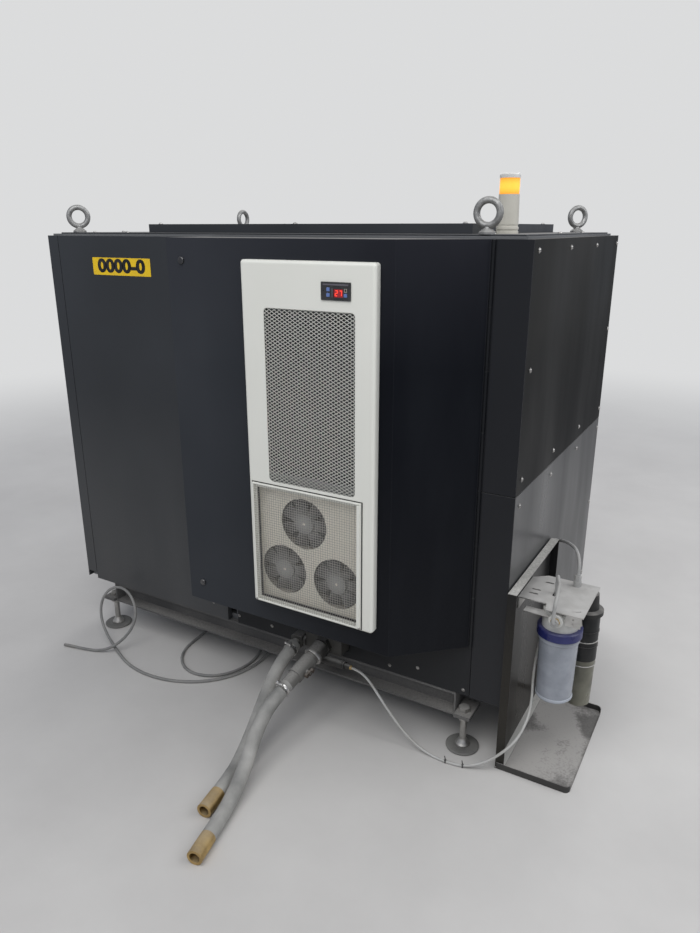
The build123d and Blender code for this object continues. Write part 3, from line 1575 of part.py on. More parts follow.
print(f"origin to the left skin {left:.2f}, origin to the front skins {front:.2f}")
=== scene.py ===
import bpy, math
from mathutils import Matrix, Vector


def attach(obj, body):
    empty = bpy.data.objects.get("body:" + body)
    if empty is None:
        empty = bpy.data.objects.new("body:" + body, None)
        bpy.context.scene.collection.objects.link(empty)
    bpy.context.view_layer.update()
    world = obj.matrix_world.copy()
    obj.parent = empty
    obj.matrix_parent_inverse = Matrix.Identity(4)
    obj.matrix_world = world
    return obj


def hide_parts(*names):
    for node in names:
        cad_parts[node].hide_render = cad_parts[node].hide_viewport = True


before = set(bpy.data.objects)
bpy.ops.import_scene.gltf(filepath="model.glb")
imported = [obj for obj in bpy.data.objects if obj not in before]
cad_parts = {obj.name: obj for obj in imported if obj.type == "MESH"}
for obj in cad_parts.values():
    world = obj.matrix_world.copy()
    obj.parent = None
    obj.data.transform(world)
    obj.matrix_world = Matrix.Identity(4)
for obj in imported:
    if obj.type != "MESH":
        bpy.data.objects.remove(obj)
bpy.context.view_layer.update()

bpy.ops.object.select_all(action='DESELECT')
bpy.context.scene.view_settings.view_transform = 'Standard'

# Eye-level camera in front of the cabinet's right corner, looking down and to the left over
# the door, as a person with a wide phone lens stands beside it.
def placed(name, data):
    """A new object of this data, linked to the scene."""
    thing = bpy.data.objects.new(name, data)
    bpy.context.scene.collection.objects.link(thing)
    return thing


focal_pixels, picture_pixels, sensor_height = 731.3, 933, 24
tilt_down, turn_left = 18.12, 29.95
camera_lens = bpy.data.cameras.new("camera")
camera_lens.sensor_fit = 'VERTICAL'
camera_lens.sensor_height = sensor_height
camera_lens.lens = focal_pixels / picture_pixels * sensor_height
camera_lens.clip_end = 60
camera = placed("camera", camera_lens)
camera.location = (1.2409, -2.1355, 1.4896)
camera.rotation_euler = (math.radians(90 - tilt_down), 0, math.radians(turn_left))
bpy.context.scene.camera = camera

# Workshop floor: power-floated pale concrete with faint stains. Away from the machine it fades
# into a plain haze, which only the camera sees.
def surface(name):
    """A new material, with its nodes, its links and its shader."""
    material = bpy.data.materials.new(name)
    material.use_nodes = True
    nodes = material.node_tree.nodes
    return material, nodes, material.node_tree.links, nodes["Principled BSDF"]


def mixed(nodes, links, factor, first, second):
    """A colour between two others; each is a socket or four numbers."""
    mix = nodes.new("ShaderNodeMix")
    mix.data_type = 'RGBA'
    for socket, value in ((mix.inputs[0], factor), (mix.inputs[6], first), (mix.inputs[7], second)):
        if isinstance(value, bpy.types.NodeSocket):
            links.new(value, socket)
        else:
            socket.default_value = value
    return mix.outputs[2]


def spread(nodes, links, value, low, high, bottom, top):
    """Stretch a value's range from low..high to bottom..top, and hold it there."""
    change = nodes.new("ShaderNodeMapRange")
    links.new(value, change.inputs["Value"])
    change.inputs["From Min"].default_value = low
    change.inputs["From Max"].default_value = high
    change.inputs["To Min"].default_value = bottom
    change.inputs["To Max"].default_value = top
    return change.outputs["Result"]


def cloud(nodes, links, place, scale, detail=4, stretch=None, broken=0.5):
    """Soft patches of noise, rougher as they are more broken, stretched along an axis where asked."""
    if stretch:
        turn = nodes.new("ShaderNodeMapping")
        turn.inputs["Scale"].default_value = stretch
        links.new(place, turn.inputs["Vector"])
        place = turn.outputs["Vector"]
    noise = nodes.new("ShaderNodeTexNoise")
    noise.inputs["Scale"].default_value = scale
    noise.inputs["Detail"].default_value = detail
    noise.inputs["Roughness"].default_value = broken
    links.new(place, noise.inputs["Vector"])
    return noise.outputs["Fac"]


def product(nodes, links, first, second, kind='MULTIPLY'):
    """Two values multiplied, or joined as named."""
    step = nodes.new("ShaderNodeMath")
    step.operation = kind
    for socket, value in zip(step.inputs, (first, second)):
        if isinstance(value, bpy.types.NodeSocket):
            links.new(value, socket)
        else:
            socket.default_value = value
    return step.outputs["Value"]


def bumped(nodes, links, shader, height, strength, distance):
    """Raise and sink a surface a little by these heights; gives back the bump."""
    relief = nodes.new("ShaderNodeBump")
    relief.inputs["Strength"].default_value = strength
    relief.inputs["Distance"].default_value = distance
    links.new(height, relief.inputs["Height"])
    links.new(relief.outputs["Normal"], shader.inputs["Normal"])
    return relief


hall_haze = (0.71, 0.715, 0.72, 1)
haze_starts, haze_full = 2.0, 6.5
bpy.ops.mesh.primitive_plane_add(size=24, location=(0, 0, 0))
floor = bpy.context.object
floor.name = "floor"
concrete, nodes, links, shader = surface("concrete")
shader.inputs["Roughness"].default_value = 0.55
place = nodes.new("ShaderNodeTexCoord").outputs["Object"]
stain = spread(nodes, links, cloud(nodes, links, place, 1.3, 8, broken=0.62), 0.3, 0.75, 0, 1)
links.new(mixed(nodes, links, stain, (0.56, 0.545, 0.525, 1), (0.66, 0.645, 0.62, 1)),
          shader.inputs["Base Color"])
bumped(nodes, links, shader, cloud(nodes, links, place, 90, 3), 0.05, 0.002)
haze = nodes.new("ShaderNodeEmission")
haze.inputs["Color"].default_value = hall_haze
distance = nodes.new("ShaderNodeVectorMath")
distance.operation = 'LENGTH'
links.new(place, distance.inputs[0])
far = nodes.new("ShaderNodeMapRange")
far.interpolation_type = 'SMOOTHSTEP'
far.inputs["From Min"].default_value = haze_starts
far.inputs["From Max"].default_value = haze_full
links.new(distance.outputs["Value"], far.inputs["Value"])
seen = nodes.new("ShaderNodeLightPath")
blend = nodes.new("ShaderNodeMixShader")
links.new(product(nodes, links, far.outputs["Result"], seen.outputs["Is Camera Ray"]), blend.inputs["Fac"])
links.new(shader.outputs["BSDF"], blend.inputs[1])
links.new(haze.outputs["Emission"], blend.inputs[2])
links.new(blend.outputs["Shader"], nodes["Material Output"].inputs["Surface"])
floor.data.materials.append(concrete)

# Light of the hall: a soft bluish light from all round, the same haze behind, and three large
# lamps high above like rows of roof lights.
world = bpy.data.worlds.new("hall")
bpy.context.scene.world = world
world.use_nodes = True
nodes, links = world.node_tree.nodes, world.node_tree.links
sky = nodes["Background"]
sky.inputs["Color"].default_value = (0.86, 0.9, 1, 1)
sky.inputs["Strength"].default_value = 0.42
backdrop = nodes.new("ShaderNodeBackground")
backdrop.inputs["Color"].default_value = hall_haze
backdrop.inputs["Strength"].default_value = 1
seen = nodes.new("ShaderNodeLightPath")
pick = nodes.new("ShaderNodeMixShader")
links.new(seen.outputs["Is Camera Ray"], pick.inputs["Fac"])
links.new(sky.outputs["Background"], pick.inputs[1])
links.new(backdrop.outputs["Background"], pick.inputs[2])
links.new(pick.outputs["Shader"], nodes["World Output"].inputs["Surface"])
for name, size, power, hung_at, aim in (
    ("roof_lamp_front", 3.2, 85, (0.6, -2.6, 3.9), (0, -0.2, 0.5)),
    ("roof_lamp_back", 3.0, 60, (-0.8, 2.4, 3.8), (0, 0.2, 0.8)),
    ("roof_lamp_side", 2.6, 60, (3.4, 0.6, 3.4), (0.4, 0, 0.6)),
):
    light = bpy.data.lights.new(name, 'AREA')
    light.shape = 'SQUARE'
    light.size = size
    light.energy = power
    lamp = placed(name, light)
    lamp.location = hung_at
    lamp.rotation_euler = (Vector(aim) - Vector(hung_at)).to_track_quat('-Z', 'Y').to_euler()

# Water hoses: two thick grey rubber hoses from the manifold and the valve under the door. They
# droop to the floor and run on along it, dusty, each ending in a brass coupling.
left_skin, front_skins = -0.946, -0.39331


def at(across, back, height):
    """Where a place given in millimetres from the cabinet's front left corner lies."""
    return (left_skin + across / 1000, front_skins + back / 1000, height / 1000)


def cord_along(name, points, thickness):
    """A smooth round cord through the air and over the floor, guided by these points."""
    curve = bpy.data.curves.new(name, 'CURVE')
    curve.dimensions = '3D'
    curve.bevel_depth = thickness / 2
    curve.bevel_resolution = 5
    curve.use_fill_caps = True
    spline = curve.splines.new('NURBS')
    spline.points.add(len(points) - 1)
    for point, place in zip(spline.points, points):
        point.co = (*at(*place), 1)
    spline.order_u = 3
    spline.use_endpoint_u = True
    spline.resolution_u = 10
    return placed(name, curve)


def dusty_rubber(name, colour, dust, roughness=0.62, scale=60):
    """Moulded rubber or soft plastic: the colour, worn patches and a film of workshop dust."""
    material, nodes, links, shader = surface(name)
    place = nodes.new("ShaderNodeTexCoord").outputs["Object"]
    patch = cloud(nodes, links, place, scale / 6, 6)
    dusty = spread(nodes, links, patch, 0.35, 0.72, 0, 1)
    links.new(mixed(nodes, links, dusty, (*colour, 1), (*dust, 1)), shader.inputs["Base Color"])
    links.new(spread(nodes, links, patch, 0, 1, roughness - 0.1, roughness + 0.2), shader.inputs["Roughness"])
    bumped(nodes, links, shader, cloud(nodes, links, place, scale * 8, 2), 0.12, 0.0006)
    return material


def dressed(piece, finish, body, node=None):
    """Give a piece its finish, the body it rides and the CAD node that it replaces."""
    piece.data.materials.clear()
    piece.data.materials.append(finish)
    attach(piece, body)
    if node:
        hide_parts(node)
    bpy.ops.object.select_all(action='DESELECT')


hose_rest = 21.5
hose_rubber = dusty_rubber("hose_rubber", (0.20, 0.20, 0.19), (0.46, 0.45, 0.425))
hose_a = cord_along("water_hose_a", [
    (1015, -60, 224), (1012, -128, 204), (1015, -190, 166), (1022, -248, 122), (1032, -308, 80),
    (1044, -374, 44), (1056, -445, hose_rest), (1066, -518, hose_rest),
], 0.042)
hose_b = cord_along("water_hose_b", [
    (1090, -215, 192), (1081.23, -286.5, 170.94), (1082, -350, 133), (1090, -404, 86),
    (1103, -460, 50), (1116, -523, 27), (1129, -585, hose_rest), (1142, -648, hose_rest),
], 0.042)
dressed(hose_a, hose_rubber, "body", "hose_a")
dressed(hose_b, hose_rubber, "body", "hose_b")

# Cables on the floor: two grey cables that leave glands under the cabinet, one looping back
# under it, the other rising in a loop by the front left foot; and the filter's thin white tube.
cable_rest, line_rest = 5.5, 4.5
cable_sheath = dusty_rubber("cable_sheath", (0.20, 0.20, 0.195), (0.30, 0.295, 0.28), 0.5, 120)
line_plastic = dusty_rubber("line_plastic", (0.52, 0.52, 0.50), (0.42, 0.41, 0.38), 0.4, 120)
left_cable = cord_along("left_cable_run", [
    (765, 205, 168), (765, 205, 106), (767, 188, 52), (768, 136, 15), (768, 70, cable_rest),
    (760, 12, cable_rest), (737, -47, cable_rest), (698, -100, cable_rest), (640, -146, cable_rest),
    (560, -180, cable_rest), (460, -192, cable_rest), (360, -174, cable_rest), (262, -132, 9.5),
    (172, -102, 52), (136, -80, 118), (154, -62, 182), (206, -52, 218), (264, -54, 218),
    (304, -62, 186), (318, -70, 140), (312, -86, 94), (292, -114, 54), (258, -146, 22),
    (210, -168, cable_rest), (158, -184, cable_rest), (104, -194, cable_rest),
], 0.010)
floor_cable = cord_along("floor_cable_run", [
    (712, 205, 168), (712, 205, 106), (718, 188, 52), (732, 136, 15), (745, 70, cable_rest),
    (738, 4, cable_rest), (711, -53, cable_rest), (664, -92, cable_rest), (606, -104, cable_rest),
    (548, -88, cable_rest), (498, -42, cable_rest), (472, 20, cable_rest), (468, 84, cable_rest),
    (474, 142, 18), (478, 190, 54), (480, 205, 108), (480, 205, 168),
], 0.010)
filter_line = cord_along("filter_line_run", [
    (1214, -52, 200), (1246, -53, 199), (1282, -60, 184), (1318, -67, 150), (1356, -68, 104),
    (1396, -66, 58), (1442, -67, 22), (1496, -71, line_rest), (1546, -75, line_rest),
    (1600, -68, line_rest), (1650, -52, 24), (1692, -37, 58), (1728, -10, 98), (1748, 22, 148),
    (1748, 64, 198), (1735, 104, 248), (1731, 138, 302), (1734, 158, 356), (1735, 160, 410),
    (1735, 160, 464),
], 0.008)
dressed(left_cable, cable_sheath, "body", "left_cable")
dressed(floor_cable, cable_sheath, "body", "floor_cable")
dressed(filter_line, line_plastic, "body", "filter_line")

# Cabinet panels: folded steel sheet in near-black powder coat, screwed to the frame. The coat
# has a fine orange peel, wiped smears, pale dust towards the floor and on every ledge, and
# folds that are slightly rounded and lighter, partly rubbed wear and partly a painted highlight.
# Tone of the lighter folds: partly rubbed paint, partly a painted highlight.
fold_wear_and_highlight_tone = (0.16, 0.165, 0.175, 1)


def put_on(material, *names):
    """Give CAD nodes this finish in all their material slots."""
    for name in names:
        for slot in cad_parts[name].material_slots:
            slot.material = material


def upward(nodes, links):
    """How far a face looks up, from -1 to 1."""
    facing = nodes.new("ShaderNodeNewGeometry")
    parts = nodes.new("ShaderNodeSeparateXYZ")
    links.new(facing.outputs["Normal"], parts.inputs[0])
    return parts.outputs["Z"]


def painted_steel(name, colour, haze, rough=(0.32, 0.5), dust=(0.26, 0.25, 0.235), low=0.25,
                  ledges=0.55, fold_wear_and_highlight=0.3, peel=0.08, shine=0.5, painted_light_bands=(), stains=1.0):
    """Powder-coated sheet in two tones. Dust lies by low near the floor and by ledges on faces that
    look up, save in stains; folds turn lighter, partly wear and partly a painted highlight; each
    painted light band, lighter or darker, is an axis, its start, end and tone."""
    material, nodes, links, shader = surface(name)
    shader.inputs["Specular IOR Level"].default_value = shine
    place = nodes.new("ShaderNodeTexCoord").outputs["Object"]
    patches = cloud(nodes, links, place, 1.7, 6)
    smears = cloud(nodes, links, place, 5, 5, (1, 1, 0.22))
    specks = cloud(nodes, links, place, 160, 2)
    paint = mixed(nodes, links, spread(nodes, links, patches, 0.35, 0.7, 0, 1), (*colour, 1), (*haze, 1))
    height = nodes.new("ShaderNodeSeparateXYZ")
    links.new(place, height.inputs[0])
    # Painted light bands: the paint turns towards each band's tone, painted shade or painted light, along its
    # axis.
    for axis, start, end, tone in painted_light_bands:
        share = product(nodes, links, spread(nodes, links, height.outputs[axis], start, end, 0, 1),
                        spread(nodes, links, smears, 0.3, 0.7, 0.8, 1.1))
        paint = mixed(nodes, links, share, paint, (*tone, 1))
    near_floor = spread(nodes, links, height.outputs["Z"], 0.1, 0.95, low, 0)
    blotched = product(nodes, links, near_floor, spread(nodes, links, smears, 0.3, 0.7, 0.35, 1.2))
    settled = spread(nodes, links, upward(nodes, links), 0.5, 0.95, 0, ledges)
    settled = product(nodes, links, settled, spread(nodes, links, patches, 0.3, 0.65, 0.6, 1.2))
    settled = product(nodes, links, settled, spread(nodes, links, smears, 0.40, 0.5, stains, 1))
    film = product(nodes, links, blotched, settled, 'MAXIMUM')
    film = product(nodes, links, film, spread(nodes, links, specks, 0.3, 0.7, 0.75, 1.15))
    dusted = mixed(nodes, links, film, paint, (*dust, 1))
    fold = nodes.new("ShaderNodeBevel")
    fold.samples = 4
    fold.inputs["Radius"].default_value = 0.0022
    turned_away = nodes.new("ShaderNodeVectorMath")
    turned_away.operation = 'DOT_PRODUCT'
    links.new(fold.outputs["Normal"], turned_away.inputs[0])
    links.new(nodes.new("ShaderNodeNewGeometry").outputs["True Normal"], turned_away.inputs[1])
    # Folds and creases turn lighter here: partly rubbed wear, partly a painted highlight.
    fold_wear_and_highlight_share = spread(nodes, links, turned_away.outputs["Value"], 0.97, 0.75, 0, fold_wear_and_highlight)
    fold_wear_and_highlight_share = product(nodes, links, fold_wear_and_highlight_share, spread(nodes, links, smears, 0.3, 0.7, 0.4, 1.2))
    links.new(mixed(nodes, links, fold_wear_and_highlight_share, dusted, fold_wear_and_highlight_tone), shader.inputs["Base Color"])
    matt = product(nodes, links, spread(nodes, links, smears, 0.3, 0.7, *rough), film, 'ADD')
    links.new(matt, shader.inputs["Roughness"])
    relief = bumped(nodes, links, shader, cloud(nodes, links, place, 520, 2), peel, 0.0004)
    links.new(fold.outputs["Normal"], relief.inputs["Normal"])
    return material


# One black powder coat covers the cabinet; the next five coats are copies of it with painted shade and
# reflection.
black_coat = painted_steel("black_coat", (0.021, 0.024, 0.028), (0.030, 0.034, 0.040))
# Lower side panel: a lighter, glossier copy, partly dust and partly a painted reflection of the floor.
dust_and_reflection_coat = painted_steel("dust_and_reflection_lower_coat", (0.035, 0.037, 0.040), (0.075, 0.077, 0.080),
                          rough=(0.22, 0.42), low=0.12)
# Door: painted shade deepening to its right, where it reflects little; painted light near its top.
door_coat = painted_steel("door_coat", (0.033, 0.037, 0.044), (0.044, 0.048, 0.055), low=0.03,
                          ledges=0.7, shine=0.12, painted_light_bands=(("X", -0.15, 0.4, (0.003, 0.004, 0.007)),
                                                        ("Z", 1.15, 1.9, (0.036, 0.037, 0.046))))
# Corner covers: a darker copy of the black paint, painted shade on the dim slanted faces.
corner_coat = painted_steel("corner_coat", (0.010, 0.011, 0.014), (0.014, 0.015, 0.018), low=0.04,
                            shine=0.28)
# Upper side panel: a darker copy with little shine, and painted shade deepening towards its foot.
side_coat = painted_steel("side_coat", (0.013, 0.0135, 0.0125), (0.027, 0.026, 0.023),
                          rough=(0.34, 0.5), low=0, shine=0.06,
                          painted_light_bands=(("Z", 1.25, 0.9, (0.003, 0.0035, 0.004)),))
# Plinth: a darker copy of the black paint, painted shade in its recess under the door box.
plinth_coat = painted_steel("plinth_coat", (0.010, 0.011, 0.013), (0.016, 0.017, 0.019), low=0.03,
                            shine=0.22)
put_on(black_coat, "left_side_panel", "left_front_panel", "rear_panels", "lid_plate", "top_cover")
put_on(door_coat, "door_box")
put_on(corner_coat, "corner_covers")
put_on(side_coat, "side_panel_upper")
put_on(plinth_coat, "plinth_panel")
put_on(dust_and_reflection_coat, "side_panel_lower")

# Inside frame, floor pan and module rack: welded square tube and bent sheet in grey primer. The
# hinge leaves have a dark coat like the panels', folds a little lighter from wear and painted highlight.
primer = painted_steel("grey_primer", (0.12, 0.125, 0.13), (0.17, 0.175, 0.18), rough=(0.45, 0.6),
                       low=0.1)
put_on(primer, "cabinet_frame", "floor_pan", "module_rack")
hinge_coat = painted_steel("hinge_coat", (0.008, 0.009, 0.011), (0.014, 0.015, 0.017), low=0.03,
                           fold_wear_and_highlight=0.25, shine=0.2)
put_on(hinge_coat, "hinge_fixed", "hinge_moving")

# Base: two dark channel rails joined by square tubes under the floor pan. Years of floor dust
# lie on their lower flanges.
base_coat = painted_steel("base_coat", (0.028, 0.03, 0.033), (0.045, 0.046, 0.047), rough=(0.45, 0.65),
                          low=0.5, ledges=0.9)
put_on(base_coat, "base_frame")

# Levelling feet: zinc-plated screws and nuts in the rail lugs, each on a bright turned seat in
# a black rubber pad.
def bare_metal(name, colour, stain, rough=(0.25, 0.45), grain=(1, 1, 1), dust=(0.32, 0.305, 0.28),
               ledges=0.4, mottle=35):
    """Unpainted metal: spangled in two tones, drawn along a grain, duller where dust has settled."""
    material, nodes, links, shader = surface(name)
    place = nodes.new("ShaderNodeTexCoord").outputs["Object"]
    spangle = cloud(nodes, links, place, mottle, 5)
    drawn = cloud(nodes, links, place, 90, 3, grain)
    patches = cloud(nodes, links, place, 7, 5)
    tone = mixed(nodes, links, spread(nodes, links, spangle, 0.35, 0.65, 0, 1), (*colour, 1), (*stain, 1))
    film = product(nodes, links, spread(nodes, links, upward(nodes, links), 0.4, 0.95, 0.05, ledges),
                   spread(nodes, links, patches, 0.35, 0.65, 0.5, 1.3))
    links.new(mixed(nodes, links, film, tone, (*dust, 1)), shader.inputs["Base Color"])
    links.new(spread(nodes, links, film, 0, 0.6, 1, 0.1), shader.inputs["Metallic"])
    links.new(product(nodes, links, spread(nodes, links, drawn, 0.3, 0.7, *rough), film, 'ADD'),
              shader.inputs["Roughness"])
    bumped(nodes, links, shader, drawn, 0.15, 0.0003)
    return material


zinc = bare_metal("zinc_plate", (0.55, 0.54, 0.52), (0.38, 0.37, 0.35), rough=(0.3, 0.5))
pad_rubber = dusty_rubber("pad_rubber", (0.10, 0.10, 0.095), (0.24, 0.235, 0.22), 0.7)
put_on(zinc, "foot_screws")
put_on(pad_rubber, "foot_pads")

# Lifting eyes: forged steel rings with a grey hot-dip galvanised skin, screwed through the lid
# into the posts at its four corners.
galvanised = bare_metal("galvanised_forging", (0.42, 0.42, 0.41), (0.27, 0.27, 0.265),
                        rough=(0.38, 0.6), mottle=70)
put_on(galvanised, "eye_bolts")

# Signal beacon: a moulded lamp on the lid, cream foot, white cap, and an amber lens that is lit
# yellow from the middle.
def moulded(name, colour, tint, rough=(0.3, 0.42), dust=(0.4, 0.385, 0.36), ledges=0.3, clear=0.0,
            glow=None, power=0.35, shine=0.5, middle=None):
    """Moulded plastic in two tones under a thin film of dust. It may be clear or glow, and turn to
    another tone round a middle, given as the place, the reach and the tone there."""
    material, nodes, links, shader = surface(name)
    shader.inputs["Specular IOR Level"].default_value = shine
    shader.inputs["Transmission Weight"].default_value = clear
    if glow:
        shader.inputs["Emission Color"].default_value = (*glow, 1)
        shader.inputs["Emission Strength"].default_value = power
    place = nodes.new("ShaderNodeTexCoord").outputs["Object"]
    patches = cloud(nodes, links, place, 18, 5)
    film = product(nodes, links, spread(nodes, links, upward(nodes, links), 0.4, 0.95, 0.03, ledges),
                   spread(nodes, links, patches, 0.35, 0.65, 0.4, 1.4))
    tone = mixed(nodes, links, spread(nodes, links, patches, 0.35, 0.65, 0, 1), (*colour, 1), (*tint, 1))
    if middle:
        hub, reach, lit = middle
        away = nodes.new("ShaderNodeVectorMath")
        away.operation = 'DISTANCE'
        links.new(place, away.inputs[0])
        away.inputs[1].default_value = hub
        near = spread(nodes, links, away.outputs["Value"], reach, reach * 0.15, 0, 1)
        tone = mixed(nodes, links, near, tone, (*lit, 1))
        if glow:
            links.new(spread(nodes, links, away.outputs["Value"], reach, reach * 0.75, 0.2, 0.8),
                      shader.inputs["Emission Strength"])
    links.new(mixed(nodes, links, film, tone, (*dust, 1)), shader.inputs["Base Color"])
    links.new(product(nodes, links, spread(nodes, links, patches, 0.3, 0.7, *rough), film, 'ADD'),
              shader.inputs["Roughness"])
    bumped(nodes, links, shader, cloud(nodes, links, place, 900, 2), 0.08, 0.0003)
    return material


lens_middle = at(1524, 250, 1592)
beacon_foot = moulded("beacon_foot_plastic", (0.62, 0.60, 0.53), (0.55, 0.53, 0.46))
beacon_lens = moulded("amber_lens", (0.95, 0.42, 0.03), (0.85, 0.33, 0.02), rough=(0.18, 0.3), clear=0.35,
                      glow=(1.0, 0.46, 0.04), middle=(lens_middle, 0.035, (1.0, 0.82, 0.20)))
beacon_cap = moulded("white_cap", (0.72, 0.71, 0.68), (0.64, 0.63, 0.60))
put_on(beacon_foot, "beacon_body")
put_on(beacon_lens, "beacon_lens")
put_on(beacon_cap, "beacon_cap")

# Enclosure cooler: a cream powder-coated steel cover with a soft rolled edge, hung on the
# door, over a galvanised case that reaches into the cabinet.
cream_coat = painted_steel("cream_coat", (0.80, 0.80, 0.735), (0.85, 0.85, 0.785), rough=(0.38, 0.5),
                           dust=(0.55, 0.54, 0.49), low=0.2, ledges=0.3, fold_wear_and_highlight=0.0, peel=0.1)
# Fan plate: its faces behind the front are painted dark, painted shade inside the fan openings.
fan_coat = painted_steel("fan_plate_coat", (0.90, 0.86, 0.76), (0.80, 0.76, 0.66), rough=(0.45, 0.6),
                         dust=(0.62, 0.57, 0.48), low=0.3, fold_wear_and_highlight=0.0,
                         painted_light_bands=(("Y", -0.5543, -0.5523, (0.05, 0.05, 0.048)),))
case_zinc = bare_metal("case_sheet", (0.5, 0.51, 0.52), (0.4, 0.41, 0.42), rough=(0.3, 0.45), mottle=22)
put_on(cream_coat, "cooler_front")
put_on(fan_coat, "fan_plate")
put_on(case_zinc, "cooler_case", "blower_wheel")

# Air outlet of the cooler: flattened expanded steel behind the window, diamonds 16 mm wide and
# 9.5 mm high with broad strands, coated cream like the cover.
def shaped(piece, kind, **settings):
    """Add a modifier with these settings to the active piece, and apply it."""
    modifier = piece.modifiers.new(kind, kind)
    for setting, value in settings.items():
        setattr(modifier, setting, value)
    bpy.ops.object.modifier_apply(modifier=modifier.name)


cells = 74
diamond_across, diamond_up = 0.008, 0.00475
window_across, window_up = 0.1455, 0.246
strand_width, strand_flattened = 0.0023, 0.45
bpy.ops.mesh.primitive_grid_add(x_subdivisions=cells, y_subdivisions=cells, size=cells, location=(0, 0, 0))
outlet = bpy.context.object
outlet.name = "outlet_mesh"
window_middle = Vector(at(1168.5, -184.6, 1055))
for vertex in outlet.data.vertices:
    along, up = vertex.co.x, vertex.co.y
    vertex.co = window_middle + Vector(((along + up) * diamond_across, 0, (up - along) * diamond_up))
bpy.ops.object.mode_set(mode='EDIT')
for side, top in ((-1, 0), (1, 0), (0, -1), (0, 1)):
    edge = window_middle + Vector((side * window_across, 0, top * window_up))
    bpy.ops.mesh.select_all(action='SELECT')
    bpy.ops.mesh.bisect(plane_co=edge, plane_no=(side, 0, top), clear_outer=True)
bpy.ops.object.mode_set(mode='OBJECT')
shaped(outlet, 'WIREFRAME', thickness=strand_width, use_even_offset=True, use_boundary=True)
for vertex in outlet.data.vertices:
    vertex.co.y = window_middle.y + (vertex.co.y - window_middle.y) * strand_flattened
mesh_coat = painted_steel("mesh_coat", (0.74, 0.745, 0.69), (0.66, 0.665, 0.62), rough=(0.4, 0.55),
                          dust=(0.5, 0.49, 0.44), low=0.15, fold_wear_and_highlight=0.0)
dressed(outlet, mesh_coat, "door", "cooler_mesh")

# Intake of the cooler: a removable filter frame, its rim folded from cream sheet with a raised
# bar on the latch side, and in it a fine woven screen of grey wire before the three fans.
def frame_strip(name, edges, width, front, thickness):
    """A flat frame of even width on the cooler's front: left, right, bottom and top edges in mm."""
    left, right, bottom, top = edges
    bpy.ops.mesh.primitive_plane_add(size=1, location=(0, 0, 0))
    strip = bpy.context.object
    strip.name = name
    for vertex in strip.data.vertices:
        vertex.co = at(left if vertex.co.x < 0 else right, front, bottom if vertex.co.y < 0 else top)
    bpy.ops.object.mode_set(mode='EDIT')
    bpy.ops.mesh.select_all(action='SELECT')
    bpy.ops.mesh.normals_make_consistent(inside=False)
    bpy.ops.mesh.inset(thickness=width / 1000, use_even_offset=True)
    bpy.ops.mesh.delete(type='FACE')
    bpy.ops.object.mode_set(mode='OBJECT')
    shaped(strip, 'SOLIDIFY', thickness=thickness / 1000, offset=0)
    return strip


def block(name, middle, size, axes=((1, 0, 0), (0, 1, 0), (0, 0, 1))):
    """A plain block about its middle, its sides along the three given directions."""
    bpy.ops.mesh.primitive_cube_add(size=1, location=(0, 0, 0))
    piece = bpy.context.object
    piece.name = name
    for vertex in piece.data.vertices:
        vertex.co = Vector(at(*middle)) + sum(
            (Vector(axis) * share * length / 1000 for axis, share, length in zip(axes, vertex.co, size)),
            Vector())
    return piece


left_side, right_side, bottom_side, top_side = rim_edges = (974, 1326, 437, 807)
rim_width, rim_middle, rim_depth = 5, -190.5, 6.7
screen_wide, screen_high, screen_front = 344, 362, -191.6
filter_rim = frame_strip("filter_rim", rim_edges, rim_width, rim_middle, rim_depth)
shaped(filter_rim, 'BEVEL', width=0.0016, segments=3)
latch_bar = block("filter_latch_bar", (1319.5, -195.2, 622), (9, 3.4, 360))
shaped(latch_bar, 'BEVEL', width=0.0015, segments=3)
bpy.ops.mesh.primitive_grid_add(x_subdivisions=45, y_subdivisions=50, size=1, location=(0, 0, 0))
screen = bpy.context.object
screen.name = "filter_screen"
for vertex in screen.data.vertices:
    vertex.co = at((left_side + right_side) / 2 + vertex.co.x * screen_wide, screen_front,
                   (bottom_side + top_side) / 2 + vertex.co.y * screen_high)
shaped(screen, 'WIREFRAME', thickness=0.0014, use_even_offset=True, use_boundary=True)
screen_wire = painted_steel("screen_wire", (0.52, 0.505, 0.465), (0.42, 0.405, 0.37), rough=(0.4, 0.6),
                            dust=(0.4, 0.37, 0.32), low=0.3, fold_wear_and_highlight=0.0)
dressed(filter_rim, cream_coat, "door", "filter_cover")
dressed(latch_bar, cream_coat, "door", "filter_cover")
dressed(screen, screen_wire, "door", "filter_cover")

# Inside the cooler: grey plastic fan rotors, lighter at the hub, and finned coils behind the
# outlet mesh.
fins = bare_metal("coil_fins", (0.10, 0.105, 0.11), (0.05, 0.052, 0.055), rough=(0.4, 0.6),
                  grain=(1, 1, 14), dust=(0.1, 0.1, 0.095), ledges=0.2)
put_on(fins, "cooler_coils")
for number, (across, up) in enumerate(((1126, 697), (1056, 542), (1232, 537)), 1):
    fan_plastic = moulded(f"fan_plastic_{number}", (0.085, 0.085, 0.083), (0.12, 0.118, 0.113),
                          rough=(0.4, 0.6), middle=(at(across, -150, up), 0.055, (0.40, 0.40, 0.39)))
    put_on(fan_plastic, f"fan_rotor_{number}")

# Temperature controller: a black bezel set in the cover with three blue keys, and a red
# seven-segment reading, whose digits lean to the right.
bezel_black = moulded("bezel_black", (0.018, 0.018, 0.02), (0.03, 0.03, 0.033), rough=(0.2, 0.32),
                      ledges=0.15)
key_blue = moulded("key_blue", (0.10, 0.17, 0.42), (0.13, 0.21, 0.48), rough=(0.35, 0.5), ledges=0.1)
put_on(bezel_black, "controller_bezel")
put_on(key_blue, "controller_button_1", "controller_button_2", "controller_button_3")
segment_glow = moulded("segment_glow", (0.9, 0.05, 0.03), (0.8, 0.04, 0.03), glow=(1.0, 0.05, 0.02),
                       power=1.4, ledges=0)


